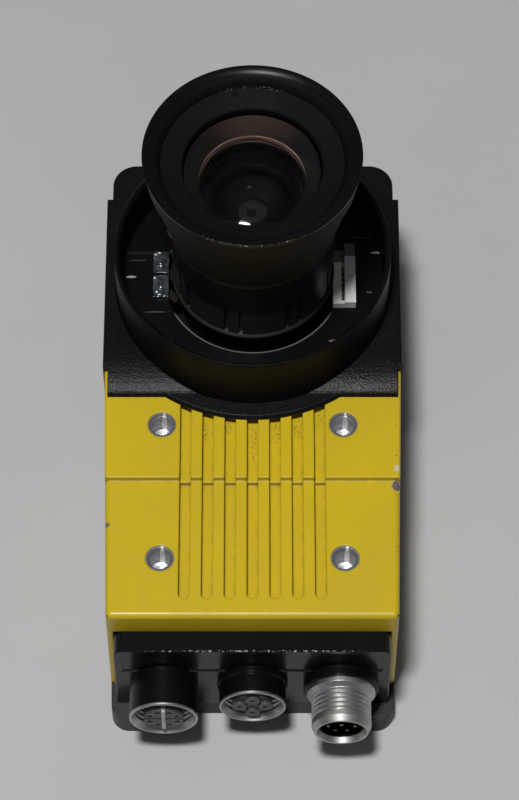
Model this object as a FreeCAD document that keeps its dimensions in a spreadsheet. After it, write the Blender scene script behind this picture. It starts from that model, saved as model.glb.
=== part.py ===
import FreeCAD, Part
import os
import re
import Sketcher

# Machine vision camera: a finned housing with a lens block, a glazed-cover collar,
# a screw-in lens and three round connectors.
# Frame: origin on the flat back, under the lens axis. +Z is the way the lens looks,
# -Y is the connector end, X is the width. Millimetres.

# driving sizes
SIZES = [
    # whole case
    ("back_thick", 4.9, "back plate thickness"),
    ("case_high", 36.1, "housing top beside the lens block"),
    ("step_drop", 1.2, "drop of the rear part of the housing top"),
    ("step_y", -45.5, "place of that step"),
    ("case_front", -20.4, "housing edge under the lens block"),
    ("case_rear", -76.3, "housing edge at the connectors"),
    ("half_front", 30.45, "housing half width at the lens block"),
    ("case_round", 1.2, "upright corner rounding"),
    ("top_round", 0.6, "top edge rounding"),
    ("rear_round", 1.1, "edge rounding of the lower, rear part of the top"),
    ("slip", 0.1, "clearance round pieces that are pushed into a seat"),
    # heat-sink grooves
    ("groove_count", 7, "grooves"),
    ("groove_pitch", 4.53, "groove spacing"),
    ("groove_wide", 2.3, "groove width"),
    ("groove_deep", 2.1, "groove depth"),
    # mounting holes
    ("hole_half", 18.45, "half spacing of the mounting holes"),
    ("hole_fore", -33.14, "front pair of mounting holes"),
    ("hole_aft", -63.27, "rear pair of mounting holes"),
    ("insert_out", 2.9, "threaded insert, outside radius"),
    ("insert_bore", 2.1, "threaded insert, hole radius"),
    ("insert_deep", 7.2, "threaded insert length"),
    ("insert_lip", 0.5, "chamfer at the mouth of the insert"),
    ("insert_floor", 0.8, "thickness under the tip of the drilled hole"),
    ("insert_cone", 0.9, "depth of the drilled hole's cone"),
    # lens block
    ("block_far", 29.5, "far end of the lens block"),
    ("block_corner", 5.0, "far corner rounding in plan"),
    ("ramp_round", 4.4, "length of the bend over the ramp's upper end"),
    ("flange_lip", 0.6, "flange chamfer"),
    ("light_bore", 11.0, "light path radius through the block"),
    ("block_hollow", 22.0, "half size of that hollow"),
    # cover collar
    ("collar_out", 28.4, "collar outside radius"),
    ("collar_lip", 0.6, "collar inside chamfer"),
    # plate inside the collar
    ("plate_drop", 1.3, "step down at the plate's cut corners"),
    ("plate_lip", 0.35, "chamfer round the lens well"),
    ("corner_near", 8.9, "cut corner, distance of its near end from the lens axis"),
    ("corner_side", 23.3, "cut corner, sideways place of its near end"),
    ("corner_run", 14.0, "cut corner run to the edge of the plate"),
    ("pad_deep", 0.5, "recess depth round the lights and the light connector"),
    # lights and light connector
    ("light_wide", 3.2, "indicator light width"),
    ("light_long", 5.2, "indicator light length"),
    ("light_ball", 1.5, "radius of the light's round lens"),
    ("light_gap", 0.7, "gap between the two lights"),
    ("light_shift", 0.1, "place of the gap's middle"),
    ("pipe_long", 3.4, "light pipe length"),
    ("pipe_wide", 1.6, "light pipe width"),
    ("pipe_turn", -48.0, "turn of the light pipes in plan"),
    ("pipe_fore", -2.8, "outer corner of the front light pipe"),
    ("pipe_aft", 2.0, "outer corner of the rear light pipe"),
    ("plug_near", -7.1, "light connector, near end"),
    ("plug_far", 7.4, "light connector, far end of the high rail"),
    ("rail_far", 3.1, "light connector, far end of the low rail"),
    ("rail_drop", 0.5, "light connector, how much lower the low rail is"),
    ("plug_slit", 0.7, "slot along the light connector"),
    ("plug_pins", 7, "contacts in the light connector"),
    ("pin_thick", 0.4, "light connector contact thickness"),
    ("screw_x", 17.6, "inner plate screws"),
    ("screw_y", -13.2, "inner plate screws"),
    ("screw_head", 1.3, "inner plate screw head radius"),
    ("screw_shank", 0.7, "inner plate screw shank radius"),
    # lens
    ("thread_out", 12.7, "lens thread radius, one inch across"),
    ("barrel_out", 14.8, "lens barrel radius"),
    ("run_gap", 0.3, "gap between turning rings and the barrel"),
    ("flute_count", 8, "grip lands round the iris ring"),
    ("flute_wide", 0.85, "grip groove width"),
    ("flute_turn", 8.6, "turn from straight down to the first groove"),
    ("flute_pair", 10.8, "turn between the two grooves of a rib"),
    ("name_groove", 0.25, "fine groove near the name ring's upper edge"),
    ("hood_knee_out", 20.4, "radius there"),
    ("hood_out", 21.74, "radius of the front rim"),
    ("hood_round", 3.6, "rounding of the rim into the mouth"),
    ("glass_out", 14.0, "front glass radius"),
    ("glass_ball", 34.0, "front glass, front curve radius"),
    ("glass_hollow", 12.0, "front glass, rear curve radius"),
    ("glass_hollow_rim", 10.4, "front glass, radius of the rear hollow"),
    ("second_edge", 2.4, "second glass edge thickness"),
    ("second_ball", 16.0, "second glass curve radius"),
    ("blade_thick", 0.15, "iris blade thickness"),
    ("blade_rise", 0.3, "spacing of the iris blades"),
    ("blade_count", 6, "iris blades"),
    ("blade_in", 4.6, "iris opening radius"),
    ("rear_edge", 2.2, "rear glass edge thickness"),
    ("rear_ball", 20.0, "rear glass curve radius"),
    ("lock_turn", 202.0, "turn of the focus lock screw round the lens axis"),
    ("lock_out", 0.9, "focus lock screw radius"),
    # sensor
    ("sensor_half_x", 6.5, "sensor package half width"),
    ("sensor_half_y", 5.5, "sensor package half height"),
    ("sensor_thick", 1.5, "sensor package thickness"),
    ("board_thick", 1.6, "circuit board thickness"),
    ("sensor_board_half", 16.0, "sensor board half size"),
    ("post_out", 2.2, "board spacer radius"),
    ("sensor_post", 13.0, "sensor board spacers from the lens axis"),
    # connector cap
    ("cap_round", 2.0, "cap top corner rounding"),
    ("cap_edge", 0.25, "rounding of the edges of the cap's face"),
    ("label_deep", 0.3, "label recess depth"),
    # back plate
    ("ear_round", 3.6, "ear corner rounding"),
    ("back_bolt_out", 1.25, "back plate screw radius"),
    ("back_head_out", 2.5, "back plate screw head radius"),
    ("back_head_deep", 1.5, "back plate screw head depth"),
    ("back_bolt_long", 9.5, "back plate screw length"),
    ("back_bolt_mid", -42.0, "back plate screws, middle pair"),
    # connectors
    ("plug_axis", 15.04, "height of the connector axes"),
    ("side_plug_x", 17.8, "outer connectors from the middle"),
    ("stem_out", 5.2, "connector stem radius in the cap"),
    ("stem_long", 9.0, "connector stem length"),
    ("socket_out", 6.87, "left socket shell radius"),
    ("socket_long", 8.5, "left socket length"),
    ("socket_bore", 5.6, "socket thread, inner radius"),
    ("sleeve_out", 6.25, "socket sleeve outer radius"),
    ("lip_long", 0.5, "bright lip length"),
    ("lip_wide", 0.4, "bright lip width"),
    ("mouth_deep", 1.3, "depth of the countersink inside the lip"),
    ("thread_pitch", 1.0, "connector thread pitch"),
    ("thread_deep", 0.38, "connector thread depth"),
    ("post_radius", 4.0, "radius of the post that holds the contacts"),
    ("foot_long", 1.0, "height of the post's foot disc"),
    ("cross_thick", 0.75, "shield cross thickness"),
    ("cross_low", 2.2, "lower edge of the shield cross"),
    ("cross_proud", 0.25, "how far the upright arm of the cross stands out of the post"),
    ("cross_sunk", 0.3, "how far the level arm lies below the post's face"),
    ("network_ring", 2.95, "contact circle of the left socket"),
    ("network_turn", 22.5, "turn of the left socket's first contact"),
    ("light_ring", 2.6, "contact circle of the middle socket"),
    ("power_ring", 2.75, "pin circle of the right plug"),
    ("eight", 8, "contacts of the left socket"),
    ("four", 4, "contacts round the middle of the middle socket"),
    ("seven", 7, "pins round the middle of the right plug"),
    ("contact_hole", 0.5, "contact hole radius"),
    ("contact_deep", 3.0, "contact hole depth"),
    ("contact_skin", 0.12, "contact sleeve wall"),
    ("small_out", 6.7, "middle socket shell radius"),
    ("small_long", 5.85, "middle socket length"),
    ("small_foot", 7.1, "middle socket foot radius"),
    ("small_foot_long", 1.2, "middle socket foot length"),
    ("boss_out", 1.45, "boss round each middle contact"),
    ("boss_high", 0.8, "boss height"),
    ("male_out", 6.0, "plug thread radius"),
    ("male_long", 11.4, "plug length"),
    ("male_nose", 5.4, "plug radius at its front edge"),
    ("male_bore", 4.5, "plug hole radius"),
    ("liner_bore", 4.2, "radius of the space round the pins"),
    ("male_bed", 3.4, "height of the pin insert in the plug"),
    ("male_pin", 0.4, "pin radius"),
    ("male_pin_top", 9.8, "pin tip height"),
    ("nut_out", 6.9, "plug flange radius"),
    ("nut_low", 2.3, "plug flange, lower side"),
    ("nut_top", 4.1, "plug flange, upper side"),
    ("foot_out", 7.55, "plug base ring radius"),
    ("shell_floor", 0.6, "floor of the holes in the connector shells"),
]
# sizes measured from another size: name, start, step from there
STEPS = [
    # whole case
    ("half_rear", "half_front", -1.45, "housing half width at the connectors"),
    ("roof", "case_high", -9.5, "ceiling of the hollow inside the housing"),
    ("hollow_half", "half_front", -5.85, "half width of the hollow"),
    ("hollow_rear", "cap_deep", 2.0, "rear end of the hollow"),
    # heat-sink grooves
    ("groove_end", "case_rear", 4.0, "rounded end of the grooves"),
    ("groove_top", "case_front", -6.6, "blind end of the grooves, under the flange"),
    # lens block
    ("block_half", "half_front", 0.29, "lens block half width"),
    ("block_tail_half", "block_half", -1.14, "half width past the side notch"),
    ("block_notch", "block_far", -8.6, "side notch"),
    ("block_high", "case_high", 2.4, "lens block top"),
    ("ramp_half", "half_front", -0.75, "ramp half width"),
    ("ramp_foot", "case_front", -6.25, "front edge of the ramp"),
    ("ramp_crest", "ramp_foot", 4.05, "upper end of the ramp"),
    ("ramp_low", "case_high", 0.85, "height of the ramp's front edge"),
    ("flange_out", "seat_out", 3.6, "round flange radius"),
    ("flange_high", "case_high", 0.9, "round flange top"),
    ("seat_floor", "case_high", 0.5, "floor of the collar seat"),
    ("seat_out", "collar_out", 0.1, "collar seat radius"),
    ("well_out", "barrel_out", 3.2, "lens well radius"),
    ("well_floor", "mount_face", -7.6, "lens well floor"),
    ("block_roof", "sensor_face", 1.93, "ceiling of the hollow inside the block"),
    # cover collar
    ("collar_in", "collar_out", -1.1, "collar inside radius"),
    ("collar_top", "seat_floor", 14.3, "collar top"),
    # plate inside the collar
    ("plate_top", "seat_floor", 3.4, "inner plate top"),
    ("plate_out", "collar_in", -0.1, "inner plate radius"),
    # lights and light connector
    ("light_x", "-barrel_out", -4.2, "middle of the two indicator lights"),
    ("light_low", "plate_top", -0.5, "indicator light underside, over the light pipes"),
    ("light_high", "plate_top", 1.2, "indicator light top"),
    ("pipe_x", "light_x", 0.6, "outer corner of the light pipes"),
    ("light_ball_level", "light_high", -1.1, "middle of the light's round lens"),
    ("plug_left", "barrel_out", 1.8, "light connector, side facing the lens"),
    ("plug_right", "plug_left", 4.7, "light connector, outer side"),
    ("plug_high", "plate_top", 1.6, "light connector top"),
    ("plug_floor", "plug_high", -2.4, "floor of the slot in the light connector"),
    ("plug_split", "plug_left", 2.1, "middle of that slot"),
    # lens
    ("mount_face", "seat_floor", -5.0, "face that the lens screws down to"),
    ("barrel_bore", "barrel_out", -4.4, "bore of the lens barrel"),
    ("barrel_foot", "mount_face", -5.4, "rear end of the lens"),
    ("barrel_top", "hood_low", 7.2, "front end of the inner barrel"),
    ("shoulder_out", "barrel_out", 1.0, "shoulder under the iris ring"),
    ("shoulder_low", "mount_face", 9.3, "underside of that shoulder"),
    ("iris_low", "mount_face", 11.3, "iris ring, lower edge"),
    ("iris_top", "iris_low", 10.2, "iris ring, upper edge"),
    ("iris_out", "barrel_out", 1.5, "iris ring radius"),
    ("iris_bead", "iris_out", 0.5, "bead at the iris ring's lower edge"),
    ("flute_floor", "iris_out", -0.6, "radius of the grip groove floor"),
    ("name_low", "iris_top", 0.3, "name ring, lower edge"),
    ("name_top", "name_low", 9.5, "name ring, upper edge"),
    ("name_out", "barrel_out", 2.1, "name ring radius"),
    ("hood_low", "name_top", 0.3, "focus barrel, lower edge"),
    ("hood_neck", "barrel_out", 2.3, "focus barrel radius at its lower edge"),
    ("hood_knee", "hood_low", 14.4, "top of the focus barrel's cone"),
    ("hood_top", "hood_low", 21.1, "front rim height"),
    ("hood_mouth", "hood_out", -2.5, "middle of the rounded rim"),
    ("hood_throat", "hood_out", -3.44, "radius inside the rim"),
    ("hood_inner", "hood_top", -2.7, "height of the inner ledge"),
    ("glass_seat", "hood_low", 11.3, "front glass seat"),
    ("glass_apex", "hood_inner", 0.0, "front glass apex"),
    ("keeper_low", "glass_seat", 4.2, "front retaining ring underside"),
    ("keeper_top", "hood_inner", -1.4, "front retaining ring, inner edge height"),
    ("keeper_in", "glass_out", -0.1, "front retaining ring, inside radius"),
    ("second_out", "barrel_bore", -1.1, "second glass radius"),
    ("second_ring_in", "second_out", -1.0, "ring over the second glass, inside radius"),
    ("second_ring_top", "second_low", 4.6, "ring over the second glass, top"),
    ("second_low", "hood_low", 0.8, "second glass, rear face"),
    ("blade_low", "iris_low", 4.1, "lowest iris blade"),
    ("blade_out", "barrel_bore", -0.1, "iris blade outer radius"),
    ("rear_low", "barrel_foot", 7.8, "rear glass, rear face"),
    ("lock_high", "hood_low", 3.0, "focus lock screw height"),
    ("lock_near", "barrel_out", 0.7, "inner end of the lock screw"),
    ("lock_far", "lock_near", 2.45, "outer end of the lock screw"),
    # sensor
    ("sensor_face", "mount_face", -17.53, "sensor plane, 17.53 behind the mount face"),
    # boards in the housing
    ("main_board_half", "hollow_half", -1.1, "board half width"),
    ("main_board_fore", "case_front", -4.6, "board front edge"),
    ("main_board_aft", "hollow_rear", 1.0, "board rear edge"),
    ("main_board_low", "back_thick", 4.6, "lower board underside"),
    ("power_board_low", "main_board_low", 8.0, "upper board underside"),
    ("post_x", "main_board_half", -3.5, "board spacers"),
    ("post_fore", "main_board_fore", -4.0, "front board spacers"),
    ("post_aft", "main_board_aft", 4.5, "rear board spacers"),
    # connector cap
    ("cap_half", "half_rear", -1.4, "cap half width"),
    ("cap_top", "case_high", -7.85, "cap top"),
    ("cap_face", "case_rear", -4.35, "cap face"),
    ("cap_deep", "case_rear", 7.8, "inner end of the cap"),
    ("label_half", "cap_half", -1.6, "label recess half width"),
    ("label_low", "cap_top", -9.05, "label recess lower edge"),
    ("label_top", "cap_top", -0.95, "label recess upper edge"),
    # back plate
    ("ear_y", "case_rear", -8.38, "end of the ears"),
    ("ear_inner", "plate_half_aft", -9.7, "inner edge of the ears"),
    ("plate_fore", "block_far", -0.4, "far end of the back plate"),
    ("plate_half_fore", "half_front", -0.15, "back plate half width at the lens block"),
    ("plate_half_aft", "half_rear", -0.3, "back plate half width at the ears"),
    ("back_bolt_x", "half_front", -3.55, "back plate screws beside the hollows"),
    ("back_bolt_cap_x", "cap_half", -4.0, "back plate screws in the cap"),
    ("back_bolt_fore", "block_far", -7.0, "back plate screws, far pair"),
    ("back_bolt_aft", "case_rear", 2.3, "back plate screws, connector end"),
]
START = {name: start for name, start, step, note in STEPS}

doc = FreeCAD.newDocument("vision_camera")
sheet = doc.addObject("Spreadsheet::Sheet", "sizes")
CELLS = SIZES + [(name + "_step", step, note) for name, start, step, note in STEPS]
for row, (name, value, note) in enumerate(CELLS, start=1):
    sheet.set("A%d" % row, name)
    sheet.set("B%d" % row, str(value))
    sheet.setAlias("B%d" % row, name)
    sheet.set("C%d" % row, note)
NAMES = [name for name, value, note in CELLS]
doc.recompute()

NODES = []


def link(text):
    """Sheet formula: every size name in the text points at its cell, a step adds its start."""
    def cell(word):
        name = word.group(0)
        if name in START:
            return "(%s + sizes.%s_step)" % (link(START[name]), name)
        return "sizes." + name if name in NAMES else name
    return re.sub(r"[a-z][a-z_]*", cell, text)


def value(text):
    number = sheet.evalExpression(link(text))
    return float(getattr(number, "Value", number))


def bind(thing, **fields):
    for field, text in fields.items():
        thing.setExpression(field.replace("__", "."), link(text))
    return thing


def node(thing, name):
    thing.Label = name
    NODES.append(thing)
    return thing


# ---- sketches -------------------------------------------------------------------

def bend(start, corner, end, count):
    """Corners along a smooth bend that leaves the start towards the corner."""
    bent = []
    for i in range(count + 1):
        t = i / count
        shares = ((1 - t) ** 2, 2 * t * (1 - t), t ** 2)
        bent.append(tuple("%.5f * (%s) + %.5f * (%s) + %.5f * (%s)"
                          % (shares[0], start[k], shares[1], corner[k], shares[2], end[k])
                          for k in (0, 1)))
    return bent


def fix(sketch, geometry, end, across, up):
    """Tie one point of a sketch to two size formulas."""
    for kind, text, axis in (("DistanceX", across, -2), ("DistanceY", up, -1)):
        if text == "0":
            sketch.addConstraint(Sketcher.Constraint("PointOnObject", geometry, end, axis))
            continue
        rule = Sketcher.Constraint(kind, -1, 1, geometry, end, value(text))
        number = sketch.addConstraint(rule)
        sketch.setExpression("Constraints[%d]" % number, link(text))


def outline(sketch, corners):
    points = [FreeCAD.Vector(value(across), value(up), 0) for across, up in corners]
    first = sketch.GeometryCount
    count = len(points)
    for i in range(count):
        line = Part.LineSegment(points[i], points[(i + 1) % count])
        sketch.addGeometry(line, False)
    for i, (across, up) in enumerate(corners):
        after = first + (i + 1) % count
        sketch.addConstraint(Sketcher.Constraint("Coincident", first + i, 2, after, 1))
        fix(sketch, first + i, 1, across, up)


def rectangle(sketch, left, right, low, high):
    outline(sketch, [(left, low), (right, low), (right, high), (left, high)])


def circle(sketch, across, up, radius):
    centre = FreeCAD.Vector(value(across), value(up), 0)
    ring = Part.Circle(centre, FreeCAD.Vector(0, 0, 1), value(radius))
    number = sketch.addGeometry(ring, False)
    fix(sketch, number, 3, across, up)
    rule = sketch.addConstraint(Sketcher.Constraint("Radius", number, value(radius)))
    sketch.setExpression("Constraints[%d]" % rule, link(radius))


def slot(sketch, across, low, high, wide):
    """Straight slot with a round lower end."""
    x, bottom, top, half = value(across), value(low), value(high), value(wide) / 2
    centre = FreeCAD.Vector(x, bottom + half, 0)
    right_low = FreeCAD.Vector(x + half, bottom + half, 0)
    right_top = FreeCAD.Vector(x + half, top, 0)
    left_top = FreeCAD.Vector(x - half, top, 0)
    left_low = FreeCAD.Vector(x - half, bottom + half, 0)
    ring = Part.Circle(centre, FreeCAD.Vector(0, 0, 1), half)
    arc = sketch.addGeometry(Part.ArcOfCircle(ring, 3.141592653589793, 6.283185307179586), False)
    right = sketch.addGeometry(Part.LineSegment(right_low, right_top), False)
    end = sketch.addGeometry(Part.LineSegment(right_top, left_top), False)
    left = sketch.addGeometry(Part.LineSegment(left_top, left_low), False)
    sketch.addConstraint(Sketcher.Constraint("Tangent", arc, 2, right, 1))
    sketch.addConstraint(Sketcher.Constraint("Coincident", right, 2, end, 1))
    sketch.addConstraint(Sketcher.Constraint("Coincident", end, 2, left, 1))
    sketch.addConstraint(Sketcher.Constraint("Tangent", left, 2, arc, 1))
    sketch.addConstraint(Sketcher.Constraint("Vertical", right))
    sketch.addConstraint(Sketcher.Constraint("Horizontal", end))
    fix(sketch, arc, 3, across, "%s + %s / 2" % (low, wide))
    fix(sketch, end, 1, "%s + %s / 2" % (across, wide), high)


def draw(body, plane, level, drawing):
    """Sketch on one of the body's own planes, moved along its normal to the level."""
    sketch = doc.addObject("Sketcher::SketchObject", "sketch")
    body.addObject(sketch)
    flat = [f for f in body.Origin.OriginFeatures if f.Role == plane][0]
    sketch.AttachmentSupport = [(flat, "")]
    sketch.MapMode = "FlatFace"
    if level != "0":
        sketch.setExpression("AttachmentOffset.Base.z", link(level))
    drawing(sketch)
    return sketch


# ---- solids ---------------------------------------------------------------------

def body(name):
    return doc.addObject("PartDesign::Body", name)


def pad(into, low, height, drawing):
    sketch = draw(into, "XY_Plane", low, drawing)
    feature = doc.addObject("PartDesign::Pad", "pad")
    into.addObject(feature)
    feature.Profile = sketch
    bind(feature, Length=height)
    into.Tip = feature
    return feature


def cut(into, top, depth, drawing):
    sketch = draw(into, "XY_Plane", top, drawing)
    feature = doc.addObject("PartDesign::Pocket", "pocket")
    into.addObject(feature)
    feature.Profile = sketch
    bind(feature, Length=depth)
    into.Tip = feature
    return feature


def cut_upright(into, plane, drawing):
    """Cut a side profile right through the body, both ways from its middle plane."""
    sketch = draw(into, plane, "0", drawing)
    feature = doc.addObject("PartDesign::Pocket", "profile_cut")
    into.addObject(feature)
    feature.Profile = sketch
    feature.Type = "ThroughAll"
    feature.Midplane = True
    into.Tip = feature
    return feature


def turn(into, corners):
    """Turned shape: outline given as radius and height, spun round the body's Z axis."""
    sketch = draw(into, "XZ_Plane", "0", lambda s: outline(s, corners))
    feature = doc.addObject("PartDesign::Revolution", "turning")
    into.addObject(feature)
    feature.Profile = sketch
    feature.ReferenceAxis = (sketch, ["V_Axis"])
    feature.Angle = 360
    into.Tip = feature
    return feature


def pattern_round(into, features, count):
    feature = doc.addObject("PartDesign::PolarPattern", "round_pattern")
    into.addObject(feature)
    axis = [f for f in into.Origin.OriginFeatures if f.Role == "Z_Axis"][0]
    feature.Originals = features
    feature.Axis = (axis, [""])
    feature.Angle = 360
    bind(feature, Occurrences=count)
    into.Tip = feature
    return feature


def pattern_row(into, features, count, length):
    feature = doc.addObject("PartDesign::LinearPattern", "row_pattern")
    into.addObject(feature)
    axis = [f for f in into.Origin.OriginFeatures if f.Role == "X_Axis"][0]
    feature.Originals = features
    feature.Direction = (axis, [""])
    bind(feature, Length=length, Occurrences=count)
    into.Tip = feature
    return feature


def soften(into, kind, size, chosen):
    """Fillet or chamfer the edges that the test picks."""
    doc.recompute()
    base = into.Tip
    edges = ["Edge%d" % (i + 1) for i, edge in enumerate(base.Shape.Edges) if chosen(edge)]
    feature = doc.addObject("PartDesign::" + kind, kind.lower())
    into.addObject(feature)
    feature.Base = (base, edges)
    if kind == "Fillet":
        bind(feature, Radius=size)
    else:
        bind(feature, Size=size)
    into.Tip = feature
    return feature


def upright(edge):
    a, b = edge.Vertexes[0].Point, edge.Vertexes[-1].Point
    return abs(a.x - b.x) < 0.01 and abs(a.y - b.y) < 0.01 and abs(a.z - b.z) > 0.5


def at_height(edge, height):
    return all(abs(v.Point.z - height) < 0.01 for v in edge.Vertexes)


def ring_edge(edge, radius, height):
    curve = edge.Curve
    return (curve.TypeId == "Part::GeomCircle" and abs(curve.Radius - radius) < 0.02
            and abs(curve.Center.z - height) < 0.02)


def cylinder(name, radius, height, across="0", along="0", low="0"):
    thing = doc.addObject("Part::Cylinder", name)
    bind(thing, Radius=radius, Height=height)
    return bind(thing, Placement__Base__x=across, Placement__Base__y=along,
                Placement__Base__z=low)


def box(name, left, right, near, far, low, high):
    thing = doc.addObject("Part::Box", name)
    bind(thing, Length="%s - (%s)" % (right, left), Width="%s - (%s)" % (far, near),
         Height="%s - (%s)" % (high, low))
    return bind(thing, Placement__Base__x=left, Placement__Base__y=near,
                Placement__Base__z=low)


def group(name, things):
    thing = doc.addObject("Part::Compound", name)
    thing.Links = things
    return thing


def drilled(name, base, tools):
    thing = doc.addObject("Part::Cut", name)
    thing.Base = base
    thing.Tool = tools if not isinstance(tools, list) else group(name + "_tools", tools)
    return thing


# ---- back plate and its screws --------------------------------------------------

BACK_BOLTS = [(side + across, along) for side in ("-", "")
              for across, along in (("back_bolt_x", "back_bolt_fore"),
                                    ("back_bolt_x", "back_bolt_mid"),
                                    ("back_bolt_cap_x", "back_bolt_aft"))]


def back_bolt(across, along):
    head = doc.addObject("Part::Cone", "bolt_head")
    bind(head, Radius1="back_head_out", Radius2="back_bolt_out", Height="back_head_deep",
         Placement__Base__x=across, Placement__Base__y=along)
    shank = cylinder("bolt_shank", "back_bolt_out", "back_bolt_long", across, along)
    whole = doc.addObject("Part::Fuse", "bolt")
    whole.Base = head
    whole.Tool = shank
    return whole


def bolts(name):
    return group(name, [back_bolt(across, along) for across, along in BACK_BOLTS])


plate = body("back_plate_blank")
pad(plate, "0", "back_thick", lambda s: outline(s, [
    ("-plate_half_fore", "plate_fore"), ("-plate_half_fore", "case_front"),
    ("-plate_half_aft", "ear_y"), ("-ear_inner", "ear_y"), ("-ear_inner", "cap_face"),
    ("ear_inner", "cap_face"), ("ear_inner", "ear_y"), ("plate_half_aft", "ear_y"),
    ("plate_half_fore", "case_front"), ("plate_half_fore", "plate_fore")]))
soften(plate, "Fillet", "ear_round",
       lambda e: upright(e) and e.Vertexes[0].Point.y < value("ear_y") + 0.1)
soften(plate, "Fillet", "block_corner",
       lambda e: upright(e) and e.Vertexes[0].Point.y > value("plate_fore") - 0.1)
node(drilled("back_plate_part", plate, bolts("back_plate_holes")), "back_plate")
node(bolts("back_bolts"), "back_plate_screws")

# ---- housing ---------------------------------------------------------------------

housing = body("housing_blank")
pad(housing, "back_thick", "case_high - back_thick", lambda s: outline(s, [
    ("-half_rear", "case_rear"), ("half_rear", "case_rear"),
    ("half_front", "case_front"), ("-half_front", "case_front")]))
soften(housing, "Fillet", "case_round",
       lambda e: upright(e) and e.Vertexes[0].Point.y < value("case_rear") + 0.1)
soften(housing, "Fillet", "top_round",
       lambda e: at_height(e, value("case_high"))
       and e.CenterOfMass.y < value("case_front") - 0.1)
cut(housing, "case_high", "step_drop", lambda s: rectangle(
    s, "-half_front", "half_front", "case_rear - 1", "step_y"))
soften(housing, "Fillet", "rear_round",
       lambda e: at_height(e, value("case_high - step_drop"))
       and e.CenterOfMass.y < value("step_y") - 0.1)
shallow = cut(housing, "case_high", "groove_deep", lambda s: slot(
    s, "-groove_pitch * (groove_count - 1) / 2", "groove_end", "groove_top", "groove_wide"))
deep = cut(housing, "case_high", "groove_deep + step_drop", lambda s: slot(
    s, "-groove_pitch * (groove_count - 1) / 2", "groove_end", "step_y", "groove_wide"))
pattern_row(housing, [shallow, deep], "groove_count", "groove_pitch * (groove_count - 1)")
cut(housing, "roof", "roof", lambda s: rectangle(
    s, "-hollow_half", "hollow_half", "hollow_rear", "case_front - 3"))
cut_upright(housing, "XZ_Plane", lambda s: rectangle(
    s, "-hollow_half + 6", "hollow_half - 6", "0", "block_roof"))
for side in ("-", ""):
    cut(housing, "case_high", "insert_deep + slip",
        lambda s: circle(s, side + "hole_half", "hole_fore", "insert_out"))
    cut(housing, "case_high - step_drop", "insert_deep + slip",
        lambda s: circle(s, side + "hole_half", "hole_aft", "insert_out"))
cut(housing, "cap_top + slip", "cap_top + slip", lambda s: rectangle(
    s, "-cap_half - slip", "cap_half + slip", "case_rear - 1", "cap_deep + slip"))
node(drilled("housing_part", housing, bolts("housing_holes")), "finned_housing")

# threaded inserts of the four mounting holes
inserts = []
for side in ("-", ""):
    for along, drop in (("hole_fore", "0"), ("hole_aft", "step_drop")):
        sleeve = body("insert")
        turn(sleeve, [
            ("0", "0"), ("insert_out", "0"), ("insert_out", "insert_deep"),
            ("insert_bore + insert_lip", "insert_deep"),
            ("insert_bore", "insert_deep - insert_lip"),
            ("insert_bore", "insert_floor + insert_cone"), ("0", "insert_floor")])
        bind(sleeve, Placement__Base__x=side + "hole_half", Placement__Base__y=along,
             Placement__Base__z="case_high - %s - insert_deep - slip" % drop)
        inserts.append(sleeve)
node(group("inserts", inserts), "mounting_inserts")

# ---- lens block --------------------------------------------------------------------

block = body("block_blank")
pad(block, "back_thick", "block_high - back_thick", lambda s: outline(s, [
    ("-block_half", "case_front"), ("block_half", "case_front"),
    ("block_half", "block_notch"), ("block_tail_half", "block_notch"),
    ("block_tail_half", "block_far"), ("-block_tail_half", "block_far"),
    ("-block_tail_half", "block_notch"), ("-block_half", "block_notch")]))
soften(block, "Fillet", "block_corner",
       lambda e: upright(e) and e.Vertexes[0].Point.y > value("block_far") - 0.1)
soften(block, "Fillet", "top_round",
       lambda e: at_height(e, value("block_high"))
       and e.CenterOfMass.y > value("case_front") + 0.1)
pad(block, "case_high", "block_high - case_high", lambda s: rectangle(
    s, "-ramp_half", "ramp_half", "ramp_foot", "case_front + 1"))
ramp_middle = ("(ramp_foot * 2 + ramp_crest) / 3", "(ramp_low * 2 + block_high) / 3")
ramp_end = ("ramp_crest + ramp_round", "block_high")
cut_upright(block, "YZ_Plane", lambda s: outline(s, [("ramp_foot - 1", "case_high + 0.2")]
    + bend(("ramp_foot", "case_high + 0.2"), ("ramp_foot", "ramp_low"), ramp_middle, 4)
    + bend(ramp_middle, ("ramp_crest", "block_high"), ramp_end, 6)[1:]
    + [("ramp_crest + ramp_round", "block_high + 1"), ("ramp_foot - 1", "block_high + 1")]))
disc = body("flange_blank")
turn(disc, [
    ("seat_out", "case_high"), ("flange_out", "case_high"),
    ("flange_out", "flange_high - flange_lip"),
    ("flange_out - flange_lip", "flange_high"), ("seat_out", "flange_high")])
near_half = box("flange_near", "-block_half", "block_half", "-flange_out - 1",
                "case_front", "case_high", "flange_high")
flange = doc.addObject("Part::Common", "flange")
flange.Base = disc
flange.Tool = near_half
floor_disc = cylinder("seat_disc", "seat_out", "seat_floor - case_high", low="case_high")
near_floor = box("seat_near", "-block_half", "block_half", "-flange_out - 1",
                 "case_front", "case_high", "seat_floor")
floor_part = doc.addObject("Part::Common", "seat_part")
floor_part.Base = floor_disc
floor_part.Tool = near_floor
joined = doc.addObject("Part::MultiFuse", "block_joined")
joined.Shapes = [block, flange, floor_part]
joined.Refine = True
node(drilled("block_part", joined, [
    cylinder("collar_seat", "seat_out", "block_high + 1 - seat_floor", low="seat_floor"),
    cylinder("well", "well_out", "block_high - well_floor", low="well_floor"),
    cylinder("light_path", "light_bore", "block_high", low="block_roof - 1"),
    box("block_hollow_tool", "-block_hollow", "block_hollow", "case_front - 1",
        "block_hollow", "0", "block_roof"),
    bolts("block_holes")]), "lens_block")

# ---- collar and the plate inside it ---------------------------------------------------

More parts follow.
